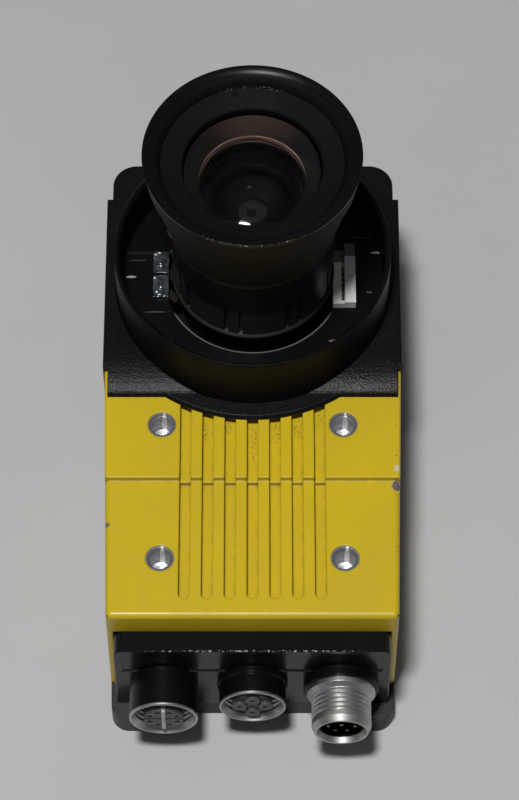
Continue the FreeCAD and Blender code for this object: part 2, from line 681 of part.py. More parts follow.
collar = body("collar_body")
turn(collar, [
    ("collar_in", "seat_floor"), ("collar_out", "seat_floor"),
    ("collar_out", "collar_top - collar_lip / 2"),
    ("collar_out - collar_lip / 2", "collar_top"),
    ("collar_in + collar_lip", "collar_top"), ("collar_in", "collar_top - collar_lip")])
node(collar, "cover_collar")

inner = body("inner_plate_blank")
turn(inner, [
    ("well_out", "seat_floor"), ("plate_out", "seat_floor"), ("plate_out", "plate_top"),
    ("well_out + plate_lip", "plate_top"), ("well_out", "plate_top - plate_lip")])
for side in ("-", ""):
    cut(inner, "plate_top", "plate_drop", lambda s: outline(s, [
        (side + "corner_side", "-corner_near"),
        (side + "(corner_side + corner_run)", "-corner_near"),
        (side + "(corner_side + corner_run)", "-corner_near - corner_run - 4"),
        (side + "(corner_side - corner_run)", "-corner_near - corner_run - 4"),
        (side + "(corner_side - corner_run)", "-corner_near - corner_run")]))
LEFT_PAD = ("-plate_out", "light_x + light_wide / 2 + slip", "-8.5", "light_long + 1.1")
RIGHT_PAD = ("plug_left - slip", "plate_out", "plug_near - 1.3", "plug_far + 2.3")
for left, right, near, far in (LEFT_PAD, RIGHT_PAD):
    cut(inner, "plate_top", "pad_deep", lambda s: rectangle(s, left, right, near, far))
PLATE_SCREWS = [("-screw_x", "screw_y"), ("screw_x", "screw_y")]


def plate_screw(across, along):
    low = "plate_top - plate_drop"
    head = cylinder("screw_head", "screw_head", "0.5", across, along, low)
    shank = cylinder("screw_shank", "screw_shank", "plate_top - plate_drop - seat_floor",
                     across, along, "seat_floor")
    whole = doc.addObject("Part::Fuse", "plate_screw")
    whole.Base = head
    whole.Tool = shank
    return whole


def plate_screws(name):
    return group(name, [plate_screw(across, along) for across, along in PLATE_SCREWS])


LIGHTS = [("light_shift + light_gap / 2", "light_shift + light_gap / 2 + light_long"),
          ("light_shift - light_gap / 2 - light_long", "light_shift - light_gap / 2")]
lights = []
for near, far in LIGHTS:
    light = doc.addObject("Part::Fuse", "light")
    light.Base = box("light_block", "light_x - light_wide / 2", "light_x + light_wide / 2",
                     near, far, "light_low", "light_high")
    light.Tool = doc.addObject("Part::Sphere", "light_lens")
    bind(light.Tool, Radius="light_ball", Placement__Base__x="light_x",
         Placement__Base__y="(%s + %s) / 2" % (near, far), Placement__Base__z="light_ball_level")
    lights.append(light)
light_room = box("light_room", "light_x - light_wide / 2", "light_x + light_wide / 2 + 3",
                 "light_shift - light_gap / 2 - light_long",
                 "light_shift + light_gap / 2 + light_long", "seat_floor + 0.9", "plate_top")
plug_room = box("plug_room", "plug_left - 3", "plug_right", "plug_near", "plug_far",
                "seat_floor + 0.9", "plate_top")
node(drilled("inner_plate_part", inner, [light_room, plug_room,
                                         plate_screws("plate_screw_holes")]), "inner_plate")
node(plate_screws("plate_screw_set"), "inner_plate_screws")
node(group("lights", lights), "indicator_lights")

pipes = []
for corner in ("pipe_fore", "pipe_aft"):
    pipe = box("pipe", "pipe_x", "pipe_x + pipe_long", corner, corner + " + pipe_wide",
               "seat_floor + 0.9", "light_ball_level - light_ball - slip")
    pipe.Placement.Rotation = FreeCAD.Rotation(FreeCAD.Vector(0, 0, 1), value("pipe_turn"))
    pipes.append(pipe)
node(group("pipes", pipes), "light_pipes")

plug = doc.addObject("Part::MultiFuse", "plug_part")
plug.Shapes = [
    box("plug_bed", "plug_left", "plug_right", "plug_near", "plug_far",
        "seat_floor + 0.9", "plug_floor"),
    box("plug_low_rail", "plug_left", "plug_split - plug_slit / 2", "plug_near", "rail_far",
        "plug_floor", "plug_high - rail_drop"),
    box("plug_high_rail", "plug_split + plug_slit / 2", "plug_right", "plug_near", "plug_far",
        "plug_floor", "plug_high"),
    box("plug_near_end", "plug_left", "plug_right", "plug_near", "plug_near + 0.8",
        "plug_floor", "plug_high - rail_drop")]
plug.Refine = True
node(plug, "light_connector")
pins = []
for i in range(int(value("plug_pins"))):
    place = "plug_near + 1.4 + %d * (rail_far - plug_near - 2.2 - pin_thick) / (plug_pins - 1)" % i
    pins.append(box("plug_pin", "plug_split - pin_thick / 2", "plug_split + pin_thick / 2",
                    place, place + " + pin_thick", "plug_floor", "plug_high - rail_drop - 0.4"))
node(group("plug_pins", pins), "light_connector_contacts")

# ---- lens ------------------------------------------------------------------------------

mount = body("mount_body")
turn(mount, [
    ("thread_out + slip / 2", "well_floor"), ("well_out - slip / 2", "well_floor"),
    ("well_out - slip / 2", "mount_face"), ("thread_out + slip / 2", "mount_face")])
node(mount, "lens_mount_ring")

barrel = body("barrel_body")
turn(barrel, [
    ("barrel_bore", "barrel_foot"), ("thread_out", "barrel_foot"),
    ("thread_out", "mount_face"), ("barrel_out", "mount_face"),
    ("barrel_out", "shoulder_low"), ("shoulder_out", "shoulder_low + 0.4"),
    ("shoulder_out", "iris_low - run_gap"), ("barrel_out", "iris_low - run_gap"),
    ("barrel_out", "barrel_top"), ("barrel_bore", "barrel_top")])
node(barrel, "lens_barrel")

iris = body("iris_body")
turn(iris, [
    ("barrel_out + run_gap", "iris_low"), ("iris_bead", "iris_low"),
    ("iris_bead", "iris_low + 0.5"), ("iris_out", "iris_low + 0.9"),
    ("iris_out", "iris_top"), ("barrel_out + run_gap", "iris_top")])
flutes = []
for turned in ("-flute_turn", "-flute_turn - flute_pair"):
    flutes.append(cut(iris, "iris_top - 0.6", "iris_top - iris_low - 1.5", lambda s: outline(s, [
        ("flute_floor * sin(1 deg * (%s)) + %s * flute_wide / 2 * cos(1 deg * (%s))"
         " + %s * 1.5 * sin(1 deg * (%s))" % (turned, across, turned, out, turned),
         "-flute_floor * cos(1 deg * (%s)) + %s * flute_wide / 2 * sin(1 deg * (%s))"
         " - %s * 1.5 * cos(1 deg * (%s))" % (turned, across, turned, out, turned))
        for across, out in (("-1", "0"), ("1", "0"), ("1", "1"), ("-1", "1"))])))
pattern_round(iris, flutes, "flute_count")
node(iris, "iris_ring")

name_ring = body("name_body")
turn(name_ring, [
    ("barrel_out", "name_low"), ("name_out - 0.3", "name_low"),
    ("name_out", "name_low + 0.3"), ("name_out", "name_top - 1.1"),
    ("name_out - name_groove", "name_top - 0.9"), ("name_out - name_groove", "name_top - 0.6"),
    ("name_out", "name_top - 0.4"), ("name_out", "name_top"), ("barrel_out", "name_top")])
node(name_ring, "name_ring")

hood = body("hood_blank")
turn(hood, [
    ("barrel_out + run_gap", "hood_low"), ("hood_neck", "hood_low"),
    ("hood_neck + 0.1", "hood_low + 0.4"), ("hood_knee_out", "hood_knee"),
    ("hood_knee_out + 0.5", "hood_knee + 0.8"), ("hood_out", "hood_top - 0.15"),
    ("hood_out - 0.15", "hood_top"), ("hood_mouth", "hood_top - 0.35"),
    ("hood_throat", "hood_inner"), ("hood_throat", "keeper_low"),
    ("glass_out + slip", "keeper_low"), ("glass_out + slip", "glass_seat"),
    ("glass_hollow_rim + 0.3", "glass_seat"), ("glass_hollow_rim + 0.3", "glass_seat - 2.2"),
    ("barrel_out + run_gap", "barrel_top + 0.6")])
soften(hood, "Fillet", "hood_round",
       lambda e: ring_edge(e, value("hood_mouth"), value("hood_top") - 0.35))


def lock_screw(name):
    screw = cylinder(name, "lock_out", "lock_far - lock_near",
                     "lock_near * cos(1 deg * lock_turn)",
                     "lock_near * sin(1 deg * lock_turn)", "lock_high")
    outward = FreeCAD.Rotation(FreeCAD.Vector(0, 0, 1), value("lock_turn"))
    screw.Placement.Rotation = outward * FreeCAD.Rotation(FreeCAD.Vector(0, 1, 0), 90)
    return screw


node(drilled("hood_part", hood, lock_screw("lock_screw_hole")), "focus_barrel")
node(lock_screw("lock_screw"), "focus_lock_screw")

keeper = body("keeper_body")
turn(keeper, [
    ("keeper_in", "keeper_low"), ("hood_throat - slip", "keeper_low"),
    ("hood_throat - slip", "hood_inner - 0.1"), ("keeper_in + 0.3", "keeper_top"),
    ("keeper_in", "keeper_top - 0.3")])
node(keeper, "front_retaining_ring")


def lens_glass(name, radius, low, edge, ball):
    """Plano-convex glass: a disc whose front is part of a ball."""
    disc = cylinder(name + "_disc", radius, "%s + 8" % edge, low=low)
    dome = doc.addObject("Part::Sphere", name + "_ball")
    bind(dome, Radius=ball, Placement__Base__z="%s + %s - sqrt(%s ^ 2 - %s ^ 2)"
         % (low, edge, ball, radius))
    glass = doc.addObject("Part::Common", name)
    glass.Base = disc
    glass.Tool = dome
    return glass


front = lens_glass("front_blank", "glass_out", "glass_seat",
                   "glass_apex - glass_ball + sqrt(glass_ball ^ 2 - glass_out ^ 2) - glass_seat",
                   "glass_ball")
rear_hollow = doc.addObject("Part::Sphere", "rear_hollow")
bind(rear_hollow, Radius="glass_hollow",
     Placement__Base__z="glass_seat - sqrt(glass_hollow ^ 2 - glass_hollow_rim ^ 2)")
node(drilled("front_part", front, rear_hollow), "front_glass")
node(lens_glass("second_part", "second_out", "second_low", "second_edge", "second_ball"),
     "second_glass")
node(lens_glass("rear_part", "second_out", "rear_low", "rear_edge", "rear_ball"), "rear_glass")


second_ring = body("second_ring_body")
turn(second_ring, [
    ("second_out", "second_low + second_edge + slip"),
    ("barrel_bore", "second_low + second_edge + slip"), ("barrel_bore", "second_ring_top"),
    ("second_ring_in + 0.7", "second_ring_top"), ("second_ring_in", "second_ring_top - 0.6"),
    ("second_ring_in", "second_ring_top - 1.3")])
node(second_ring, "second_retaining_ring")


def spacer(name, low, high):
    ring = body(name + "_body")
    turn(ring, [("second_out - 1", low), ("barrel_bore", low), ("barrel_bore", high),
                ("second_out", high), ("second_out", high + " - 2"),
                ("second_out - 1", high + " - 2")])
    return node(ring, name)


spacer("front_spacer", "blade_low + 2.2", "second_low + 2")
spacer("rear_spacer", "barrel_foot + 1", "rear_low + 2")

blades = []
for i in range(int(value("blade_count"))):
    level = "blade_low + %d * blade_rise" % i
    blade = cylinder("blade", "blade_out", "blade_thick", low=level)
    blade.Angle = 150
    blade.Placement.Rotation = FreeCAD.Rotation(FreeCAD.Vector(0, 0, 1), 60 * i)
    hole = cylinder("blade_hole", "blade_in", "blade_thick + 2", low=level + " - 1")
    blades.append(drilled("blade_part", blade, hole))
node(group("blades", blades), "iris_blades")

# ---- sensor and boards -------------------------------------------------------------------

node(box("sensor", "-sensor_half_x", "sensor_half_x", "-sensor_half_y", "sensor_half_y",
         "sensor_face - sensor_thick", "sensor_face"), "image_sensor")
sensor_board_low = "sensor_face - sensor_thick - board_thick"
node(box("sensor_board", "-sensor_board_half", "sensor_board_half", "-sensor_board_half",
         "sensor_board_half", sensor_board_low, sensor_board_low + " + board_thick"),
     "sensor_board")
node(group("sensor_posts", [
    cylinder("sensor_post", "post_out", "block_roof - sensor_face + sensor_thick",
             a + "sensor_post", b + "sensor_post", "sensor_face - sensor_thick")
    for a in ("-", "") for b in ("-", "")]), "sensor_board_spacers")
for name, low in (("processor_board", "main_board_low"), ("power_board", "power_board_low")):
    node(box(name + "_part", "-main_board_half", "main_board_half", "main_board_aft",
             "main_board_fore", low, low + " + board_thick"), name)
posts = []
for a in ("-", ""):
    for along in ("post_fore", "post_aft"):
        posts.append(cylinder("post", "post_out", "main_board_low - back_thick",
                              a + "post_x", along, "back_thick"))
        posts.append(cylinder("post", "post_out",
                              "power_board_low - main_board_low - board_thick",
                              a + "post_x", along, "main_board_low + board_thick"))
node(group("posts", posts), "board_spacers")

# ---- connector cap -------------------------------------------------------------------------

cap = body("cap_blank")
pad(cap, "back_thick", "cap_top - back_thick", lambda s: rectangle(
    s, "-cap_half", "cap_half", "cap_face", "cap_deep"))
soften(cap, "Fillet", "cap_round",
       lambda e: at_height(e, value("cap_top")) and abs(e.CenterOfMass.x) > value("cap_half") - 0.1)
soften(cap, "Fillet", "cap_edge",
       lambda e: abs(e.CenterOfMass.y - value("cap_face")) < 0.1
       and e.CenterOfMass.z > value("back_thick") + 0.1)
label = doc.addObject("Part::Box", "label_room")
bind(label, Length="2 * label_half", Width="label_deep + 1", Height="label_top - label_low",
     Placement__Base__x="-label_half", Placement__Base__y="cap_face - 1",
     Placement__Base__z="label_low")
CONNECTORS = [("left", "-side_plug_x"), ("middle", "0"), ("right", "side_plug_x")]


def face_out(thing, across):
    """Stand a piece made along +Z out of the cap's face."""
    thing.Placement.Rotation = FreeCAD.Rotation(FreeCAD.Vector(1, 0, 0), 90)
    return bind(thing, Placement__Base__x=across, Placement__Base__y="cap_face",
                Placement__Base__z="plug_axis")


def stem_hole(across):
    hole = doc.addObject("Part::Cylinder", "stem_hole")
    bind(hole, Radius="stem_out + slip", Height="cap_deep - cap_face + 2",
         Placement__Base__x=across, Placement__Base__y="cap_deep + 1",
         Placement__Base__z="plug_axis")
    hole.Placement.Rotation = FreeCAD.Rotation(FreeCAD.Vector(1, 0, 0), 90)
    return hole


node(drilled("cap_part", cap, [label] + [stem_hole(x) for side, x in CONNECTORS]
             + [bolts("cap_holes")]), "connector_cap")


# ---- connectors ----------------------------------------------------------------------------

def contact_places(count, circle_radius, first):
    around = int(value(count))
    angles = ["%.2f deg" % (360.0 * i / around + first) for i in range(around)]
    return [("%s * cos(%s)" % (circle_radius, a), "%s * sin(%s)" % (circle_radius, a))
            for a in angles]


def turned_piece(name, across, corners):
    blank = body(name + "_body")
    turn(blank, corners)
    return node(face_out(blank, across), name)


def thread_corners(radius, low, turns, inward):
    """Corners of a thread drawn as rings, going up. Inward cuts into a bore's wall."""
    deep = "(%s + thread_deep)" % radius if inward else "(%s - thread_deep)" % radius
    corners = []
    for i in range(turns):
        start = "%s + %d * thread_pitch" % (low, i)
        corners += [(radius, start), (deep, start + " + 0.4 * thread_pitch"),
                    (deep, start + " + 0.5 * thread_pitch"),
                    (radius, start + " + 0.9 * thread_pitch")]
    return corners


def sleeve(name, across, out, long, turns):
    """Metal sleeve of a socket: thread inside, bright lip over the shell's front."""
    wall = thread_corners("socket_bore", "%s - mouth_deep - 0.1 - %d * thread_pitch"
                          % (long, turns), turns, True)
    return turned_piece(name, across, [("socket_bore", "shell_floor")] + wall + [
        ("socket_bore", long + " - mouth_deep"), (out + " - lip_wide", long),
        (out + " - 0.15", long), (out, long + " - 0.15"), (out, long + " - lip_long"), ("sleeve_out", long + " - lip_long"),
        ("sleeve_out", "shell_floor")])


def insert_blank(name, bore, bed):
    """Foot disc and the post that holds the contacts."""
    blank = body(name + "_body")
    pad(blank, "shell_floor", "foot_long", lambda s: circle(s, "0", "0", bore))
    if bed:
        pad(blank, "shell_floor + foot_long", bed + " - shell_floor - foot_long",
            lambda s: circle(s, "0", "0", "post_radius"))
    return blank


def contact_sleeves(name, across, top, places):
    parts = []
    for x, y in places:
        low = "%s - contact_deep" % top
        outer = cylinder("contact", "contact_hole", "contact_deep - 0.3", x, y, low)
        bore = cylinder("contact_bore", "contact_hole - contact_skin", "contact_deep",
                        x, y, low + " + 0.6")
        parts.append(drilled("contact_part", outer, bore))
    return node(face_out(group(name + "_set", parts), across), name)


LEFT, MIDDLE, RIGHT = [across for side, across in CONNECTORS]

# left: network socket, eight contacts in four quarters parted by a shield cross
turned_piece("left_socket_shell", LEFT, [
    ("0", "-stem_long"), ("stem_out", "-stem_long"), ("stem_out", "0"), ("socket_out", "0"),
    ("socket_out", "socket_long - lip_long"), ("sleeve_out", "socket_long - lip_long"),
    ("sleeve_out", "shell_floor"), ("0", "shell_floor")])
sleeve("left_socket_sleeve", LEFT, "socket_out", "socket_long", 6)
left_places = contact_places("eight", "network_ring", value("network_turn"))
blank = insert_blank("left_contact_insert", "socket_bore", "socket_long")
cut(blank, "socket_long", "socket_long - cross_low", lambda s: rectangle(
    s, "-post_radius - 1", "post_radius + 1", "-cross_thick / 2", "cross_thick / 2"))
cut(blank, "socket_long", "socket_long - cross_low", lambda s: rectangle(
    s, "-cross_thick / 2", "cross_thick / 2", "-post_radius - 1", "post_radius + 1"))
for x, y in left_places:
    cut(blank, "socket_long", "contact_deep", lambda s: circle(s, x, y, "contact_hole"))
node(face_out(blank, LEFT), "left_contact_insert")
contact_sleeves("left_contacts", LEFT, "socket_long", left_places)
cross = body("cross_body")
pad(cross, "cross_low", "socket_long - cross_sunk - cross_low", lambda s: rectangle(
    s, "-post_radius", "post_radius", "-cross_thick / 2", "cross_thick / 2"))
pad(cross, "cross_low", "socket_long + cross_proud - cross_low", lambda s: rectangle(
    s, "-cross_thick / 2", "cross_thick / 2", "-post_radius", "post_radius"))
node(face_out(cross, LEFT), "left_shield_cross")

# middle: lighting socket, five contacts that each stand in a round boss
turned_piece("middle_socket_shell", MIDDLE, [
    ("0", "-stem_long"), ("stem_out", "-stem_long"), ("stem_out", "0"), ("small_foot", "0"),
    ("small_foot", "small_foot_long"), ("small_out", "small_foot_long + 0.3"),
    ("small_out", "small_long - lip_long"), ("sleeve_out", "small_long - lip_long"),
    ("sleeve_out", "shell_floor"), ("0", "shell_floor")])
sleeve("middle_socket_sleeve", MIDDLE, "small_out", "small_long", 3)
middle_places = contact_places("four", "light_ring", 0)
blank = insert_blank("middle_contact_insert", "socket_bore", "small_long - boss_high")
for x, y in middle_places:
    pad(blank, "small_long - boss_high", "boss_high", lambda s: circle(s, x, y, "boss_out"))
pad(blank, "small_long - boss_high", "boss_high - 0.35", lambda s: circle(s, "0", "0", "1.2"))
for x, y in middle_places:
    cut(blank, "small_long", "contact_deep", lambda s: circle(s, x, y, "contact_hole"))
cut(blank, "small_long", "contact_deep", lambda s: circle(s, "0", "0", "contact_hole"))
node(face_out(blank, MIDDLE), "middle_contact_insert")
contact_sleeves("middle_contacts", MIDDLE, "small_long", middle_places + [("0", "0")])

# right: power plug, male thread over a flange and a dark base ring
turned_piece("right_base_ring", RIGHT, [
    ("stem_out", "0"), ("foot_out", "0"), ("foot_out", "nut_low - 0.2"),
    ("foot_out - 0.2", "nut_low"), ("stem_out", "nut_low")])
plug_turns = int(value("(male_long - 1.4 - nut_top) / thread_pitch"))
turned_piece("right_plug_shell", RIGHT, [
    ("0", "-stem_long"), ("stem_out", "-stem_long"), ("stem_out", "nut_low"),
    ("nut_out", "nut_low"), ("nut_out", "nut_top - 0.9"), ("male_out", "nut_top")
    ] + thread_corners("male_out", "nut_top + 0.1", plug_turns, False) + [
    ("male_out", "male_long - 1.2"),
    ("male_nose", "male_long"), ("male_bore + 0.5", "male_long"),
    ("male_bore", "male_long - 1.1"), ("male_bore", "shell_floor"), ("0", "shell_floor")])
liner = body("liner_body")
turn(liner, [
    ("0", "shell_floor"), ("male_bore", "shell_floor"), ("male_bore", "male_long - 1.1"),
    ("liner_bore", "male_long - 1.1"), ("liner_bore", "male_bed"), ("0", "male_bed")])
male_places = contact_places("seven", "power_ring", 90) + [("0", "0")]
for x, y in male_places:
    cut(liner, "male_bed", "male_bed - shell_floor - 0.3", lambda s: circle(s, x, y, "male_pin"))
node(face_out(liner, RIGHT), "right_pin_insert")
pin_low = "shell_floor + 0.3"
male_pins = [cylinder("male_pin", "male_pin", "male_pin_top - %s" % pin_low.replace("+", "-"),
                      x, y, pin_low) for x, y in male_places]
node(face_out(group("male_pins", male_pins), RIGHT), "right_pins")

# ---- check and export ------------------------------------------------------------------------

doc.recompute()
faults = []
for thing in doc.Objects:
    if "Invalid" in thing.State or "Error" in thing.State:
        faults.append(thing.Label)
for part in NODES:
    if part.Shape.isNull() or not part.Shape.isValid():
        faults.append(part.Label)
if faults:
    raise RuntimeError("faulty objects: " + ", ".join(faults))
os.makedirs("parts", exist_ok=True)
for part in NODES:
    part.Shape.exportStep("parts/%s.step" % part.Label)
print("%d nodes written" % len(NODES))
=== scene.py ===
import bpy
import math
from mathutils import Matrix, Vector


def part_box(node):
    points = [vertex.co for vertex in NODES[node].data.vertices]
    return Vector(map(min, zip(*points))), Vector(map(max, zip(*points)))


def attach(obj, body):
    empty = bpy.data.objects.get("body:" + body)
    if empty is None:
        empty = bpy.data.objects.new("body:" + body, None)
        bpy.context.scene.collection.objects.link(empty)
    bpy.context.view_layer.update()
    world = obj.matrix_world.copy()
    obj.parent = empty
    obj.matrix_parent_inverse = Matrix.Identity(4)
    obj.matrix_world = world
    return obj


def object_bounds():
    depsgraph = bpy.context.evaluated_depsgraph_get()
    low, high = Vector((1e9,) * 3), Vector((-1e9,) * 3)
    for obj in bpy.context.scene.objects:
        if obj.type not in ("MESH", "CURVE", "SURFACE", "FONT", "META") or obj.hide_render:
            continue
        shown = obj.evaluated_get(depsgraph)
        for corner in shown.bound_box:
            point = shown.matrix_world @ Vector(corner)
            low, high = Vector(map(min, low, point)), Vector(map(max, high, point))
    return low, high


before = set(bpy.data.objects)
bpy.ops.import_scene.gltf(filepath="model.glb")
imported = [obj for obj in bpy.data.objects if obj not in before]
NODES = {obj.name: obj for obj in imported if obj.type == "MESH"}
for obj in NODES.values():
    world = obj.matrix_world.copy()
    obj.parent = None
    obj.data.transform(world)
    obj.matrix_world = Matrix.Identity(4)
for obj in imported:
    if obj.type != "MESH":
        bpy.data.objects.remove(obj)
cad_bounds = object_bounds()

# Machine vision camera, dressed: painted housing, powder-coated lens block,
# anodised lens with coated glass, nickel-plated connectors. Metres.
# +Z is the way the lens looks, -Y is the connector end, X is the width.

MM = 0.001
LENS_AXIS = (0, 0, 1)
CONNECTOR_AXIS = (0, 1, 0)
RAYS = 6                # rays of each rounded-edge and inner-corner node


def mm(*lengths):
    """Lengths in millimetres, as metres."""
    return tuple(length * MM for length in lengths)


def grey(tone):
    return (tone, tone, tone)


# ---- shader building blocks -----------------------------------------------------------

def wire(tree, kind, inputs=None, **settings):
    """New shader node. An input is given by name or number, as a value or another socket."""
    node = tree.nodes.new("ShaderNode" + kind)
    for name, value in settings.items():
        setattr(node, name, value)
    for name, value in (inputs or {}).items():
        feed(tree, node.inputs[name], value)
    return node


def feed(tree, socket, value):
    """Link a socket to another one, or give it a plain value."""
    if isinstance(value, bpy.types.NodeSocket):
        tree.links.new(value, socket)
    else:
        socket.default_value = value


def math_node(tree, operation, a, b=0.0, clamp=False):
    node = wire(tree, "Math", {0: a, 1: b}, operation=operation)
    node.use_clamp = clamp
    return node.outputs[0]


def vector_node(tree, operation, a, b=(0.0, 0.0, 0.0)):
    node = wire(tree, "VectorMath", {0: a, 1: b}, operation=operation)
    return node.outputs["Value" if operation in ("DOT_PRODUCT", "LENGTH") else 0]


def scaled(tree, vector, factor):
    node = wire(tree, "VectorMath", {0: vector, "Scale": factor}, operation="SCALE")
    return node.outputs[0]


def part_of(tree, vector, axis):
    return wire(tree, "SeparateXYZ", {0: vector}).outputs[axis]


def ramp(tree, value, low, high, out_low=0.0, out_high=1.0):
    """Smooth step of a value from low to high."""
    node = wire(tree, "MapRange", {"Value": value, "From Min": low, "From Max": high,
                                   "To Min": out_low, "To Max": out_high},
                interpolation_type="SMOOTHSTEP")
    return node.outputs["Result"]


def blend_colour(tree, factor, a, b):
    node = wire(tree, "Mix", data_type="RGBA")
    for name, value in (("Factor", factor), (6, a), (7, b)):
        feed(tree, node.inputs[name], value)
    return node.outputs[2]


def noise(tree, place, scale, detail, rough):
    node = wire(tree, "TexNoise", {"Vector": place, "Scale": scale, "Detail": detail,
                                   "Roughness": rough})
    return node.outputs["Fac"]


def lifted(tree, pattern, amount):
    """A pattern raised by an amount: above 0.5 more of it shows, below 0.5 less."""
    return math_node(tree, "ADD", pattern, math_node(tree, "SUBTRACT", amount, 0.5))


def dotted(tree, given, full):
    """Spots of fine noise, whole where the raised noise reaches the full level."""
    spots = noise(tree, given["Place"], given["Dots"], 3.0, 0.7)
    return ramp(tree, lifted(tree, spots, given["Cover"]), 0.5, full)


def start_group(name, inputs, outputs):
    """Empty shader group; returns the tree, its input sockets and a function that ends it."""
    tree = bpy.data.node_groups.new(name, "ShaderNodeTree")
    for label, kind, value in inputs:
        socket = tree.interface.new_socket(label, in_out="INPUT",
                                           socket_type="NodeSocket" + kind)
        socket.default_value = value
    for label, kind in outputs:
        tree.interface.new_socket(label, in_out="OUTPUT", socket_type="NodeSocket" + kind)
    entry = tree.nodes.new("NodeGroupInput").outputs
    leave = tree.nodes.new("NodeGroupOutput").inputs

    def end(**results):
        for label, socket in results.items():
            tree.links.new(socket, leave[label])
        return tree
    return tree, entry, end


def edge_mask_group():
    """Edges, for rubbed wear and painted edge highlights: where the surface turns within the
    radius, broken up by noise.
    """
    tree, given, end = start_group("edge_mask", [
        ("Place", "Vector", (0, 0, 0)), ("Radius", "Float", 0.0003),
        ("Breakup", "Float", 900.0), ("Amount", "Float", 0.5)], [("Mask", "Float")])
    gain = 9.0          # a gentle turn of the surface already counts as an edge
    rounded = wire(tree, "Bevel", {"Radius": given["Radius"]}, samples=RAYS).outputs[0]
    true = wire(tree, "NewGeometry").outputs["Normal"]
    turn = math_node(tree, "SUBTRACT", 1.0, vector_node(tree, "DOT_PRODUCT", rounded, true))
    patchy = noise(tree, given["Place"], given["Breakup"], 6.0, 0.65)
    strength = math_node(tree, "MULTIPLY", turn, gain, clamp=True)
    cover = ramp(tree, lifted(tree, patchy, given["Amount"]), 0.45, 0.6)
    return end(Mask=math_node(tree, "MULTIPLY", strength, cover))


def grain_group():
    """Fine surface relief with a slow wave under it, and a slow mottling for colour."""
    tree, given, end = start_group("grain", [
        ("Place", "Vector", (0, 0, 0)), ("Size", "Float", 0.0004),
        ("Mottle Size", "Float", 0.012)],
        [("Height", "Float"), ("Mottle", "Float")])
    wave_share = 0.3    # of the relief; the fine grain has the rest
    wave_rate = 0.25    # waves to one grain
    fine = noise(tree, given["Place"], math_node(tree, "DIVIDE", 1.0, given["Size"]), 3.0, 0.5)
    slow = noise(tree, given["Place"], math_node(tree, "DIVIDE", wave_rate, given["Size"]),
                 2.0, 0.5)
    height = math_node(tree, "ADD", math_node(tree, "MULTIPLY", fine, 1 - wave_share),
                       math_node(tree, "MULTIPLY", slow, wave_share))
    mottle = noise(tree, given["Place"], math_node(tree, "DIVIDE", 1.0, given["Mottle Size"]),
                   5.0, 0.6)
    return end(Height=height, Mottle=ramp(tree, mottle, 0.3, 0.7))


def corner_tint_group():
    """A tint that stays in inner corners, thinned by noise: dust, and where it is darker than
    the surface, painted shade with dirt.
    """
    tree, given, end = start_group("corner_tint", [
        ("Place", "Vector", (0, 0, 0)), ("Reach", "Float", 0.0015),
        ("Amount", "Float", 0.5)], [("Mask", "Float")])
    patches = 420.0     # to the metre
    hollow = wire(tree, "AmbientOcclusion", {"Distance": given["Reach"]}, samples=RAYS,
                  only_local=True)
    closed = math_node(tree, "SUBTRACT", 1.0, hollow.outputs["AO"])
    patchy = noise(tree, given["Place"], patches, 5.0, 0.6)
    thinned = math_node(tree, "MULTIPLY", ramp(tree, patchy, 0.3, 0.65), given["Amount"])
    return end(Mask=math_node(tree, "MULTIPLY", ramp(tree, closed, 0.1, 0.7), thinned))


def chip_group():
    """One ragged chip or spot round a point."""
    tree, given, end = start_group("chip", [
        ("Place", "Vector", (0, 0, 0)), ("Centre", "Vector", (0, 0, 0)),
        ("Size", "Float", 0.001), ("Stretch", "Vector", (1, 1, 1))], [("Mask", "Float")])
    ragged = 1500.0     # bites of the outline to the metre
    wobble = wire(tree, "TexNoise", {"Vector": given["Place"], "Scale": ragged,
                                     "Detail": 3.0}).outputs["Color"]
    centred = vector_node(tree, "SUBTRACT", wobble, (0.5, 0.5, 0.5))
    moved = vector_node(tree, "ADD", given["Place"], scaled(tree, centred, given["Size"]))
    apart = vector_node(tree, "SUBTRACT", moved, given["Centre"])
    squeezed = vector_node(tree, "DIVIDE", apart, given["Stretch"])
    share = math_node(tree, "DIVIDE", vector_node(tree, "LENGTH", squeezed), given["Size"])
    return end(Mask=ramp(tree, share, 1.0, 0.8))


def turning_group():
    """Fine lathe lines round an axis: relief that changes with radius and height."""
    tree, given, end = start_group("turning", [
        ("Place", "Vector", (0, 0, 0)), ("Centre", "Vector", (0, 0, 0)),
        ("Axis", "Vector", LENS_AXIS), ("Lines", "Float", 6000.0)], [("Height", "Float")])
    apart = vector_node(tree, "SUBTRACT", given["Place"], given["Centre"])
    along = vector_node(tree, "DOT_PRODUCT", apart, given["Axis"])
    axial = scaled(tree, given["Axis"], along)
    radius = vector_node(tree, "LENGTH", vector_node(tree, "SUBTRACT", apart, axial))
    flat = wire(tree, "CombineXYZ", {"X": along, "Y": radius}).outputs[0]
    return end(Height=noise(tree, flat, given["Lines"], 2.0, 0.6))


def band_group():
    """Narrow line round the lens axis at a radius and height, broken into dots: rubbed wear,
    and painted highlights on edges.
    """
    tree, given, end = start_group("wear_and_sheen_band", [
        ("Place", "Vector", (0, 0, 0)), ("Radius", "Float", 0.02),
        ("Level", "Float", 0.08), ("Width", "Float", 0.0002), ("Dots", "Float", 900.0),
        ("Cover", "Float", 0.5)], [("Mask", "Float")])
    parts = wire(tree, "SeparateXYZ", {0: given["Place"]}).outputs
    flat = wire(tree, "CombineXYZ", {"X": parts["X"], "Y": parts["Y"]}).outputs[0]
    off = math_node(tree, "SUBTRACT", vector_node(tree, "LENGTH", flat), given["Radius"])
    rise = math_node(tree, "SUBTRACT", parts["Z"], given["Level"])
    away = wire(tree, "CombineXYZ", {"X": off, "Y": rise}).outputs[0]
    share = math_node(tree, "DIVIDE", vector_node(tree, "LENGTH", away), given["Width"])
    return end(Mask=math_node(tree, "MULTIPLY", ramp(tree, share, 1.0, 0.5),
                              dotted(tree, given, 0.56)))


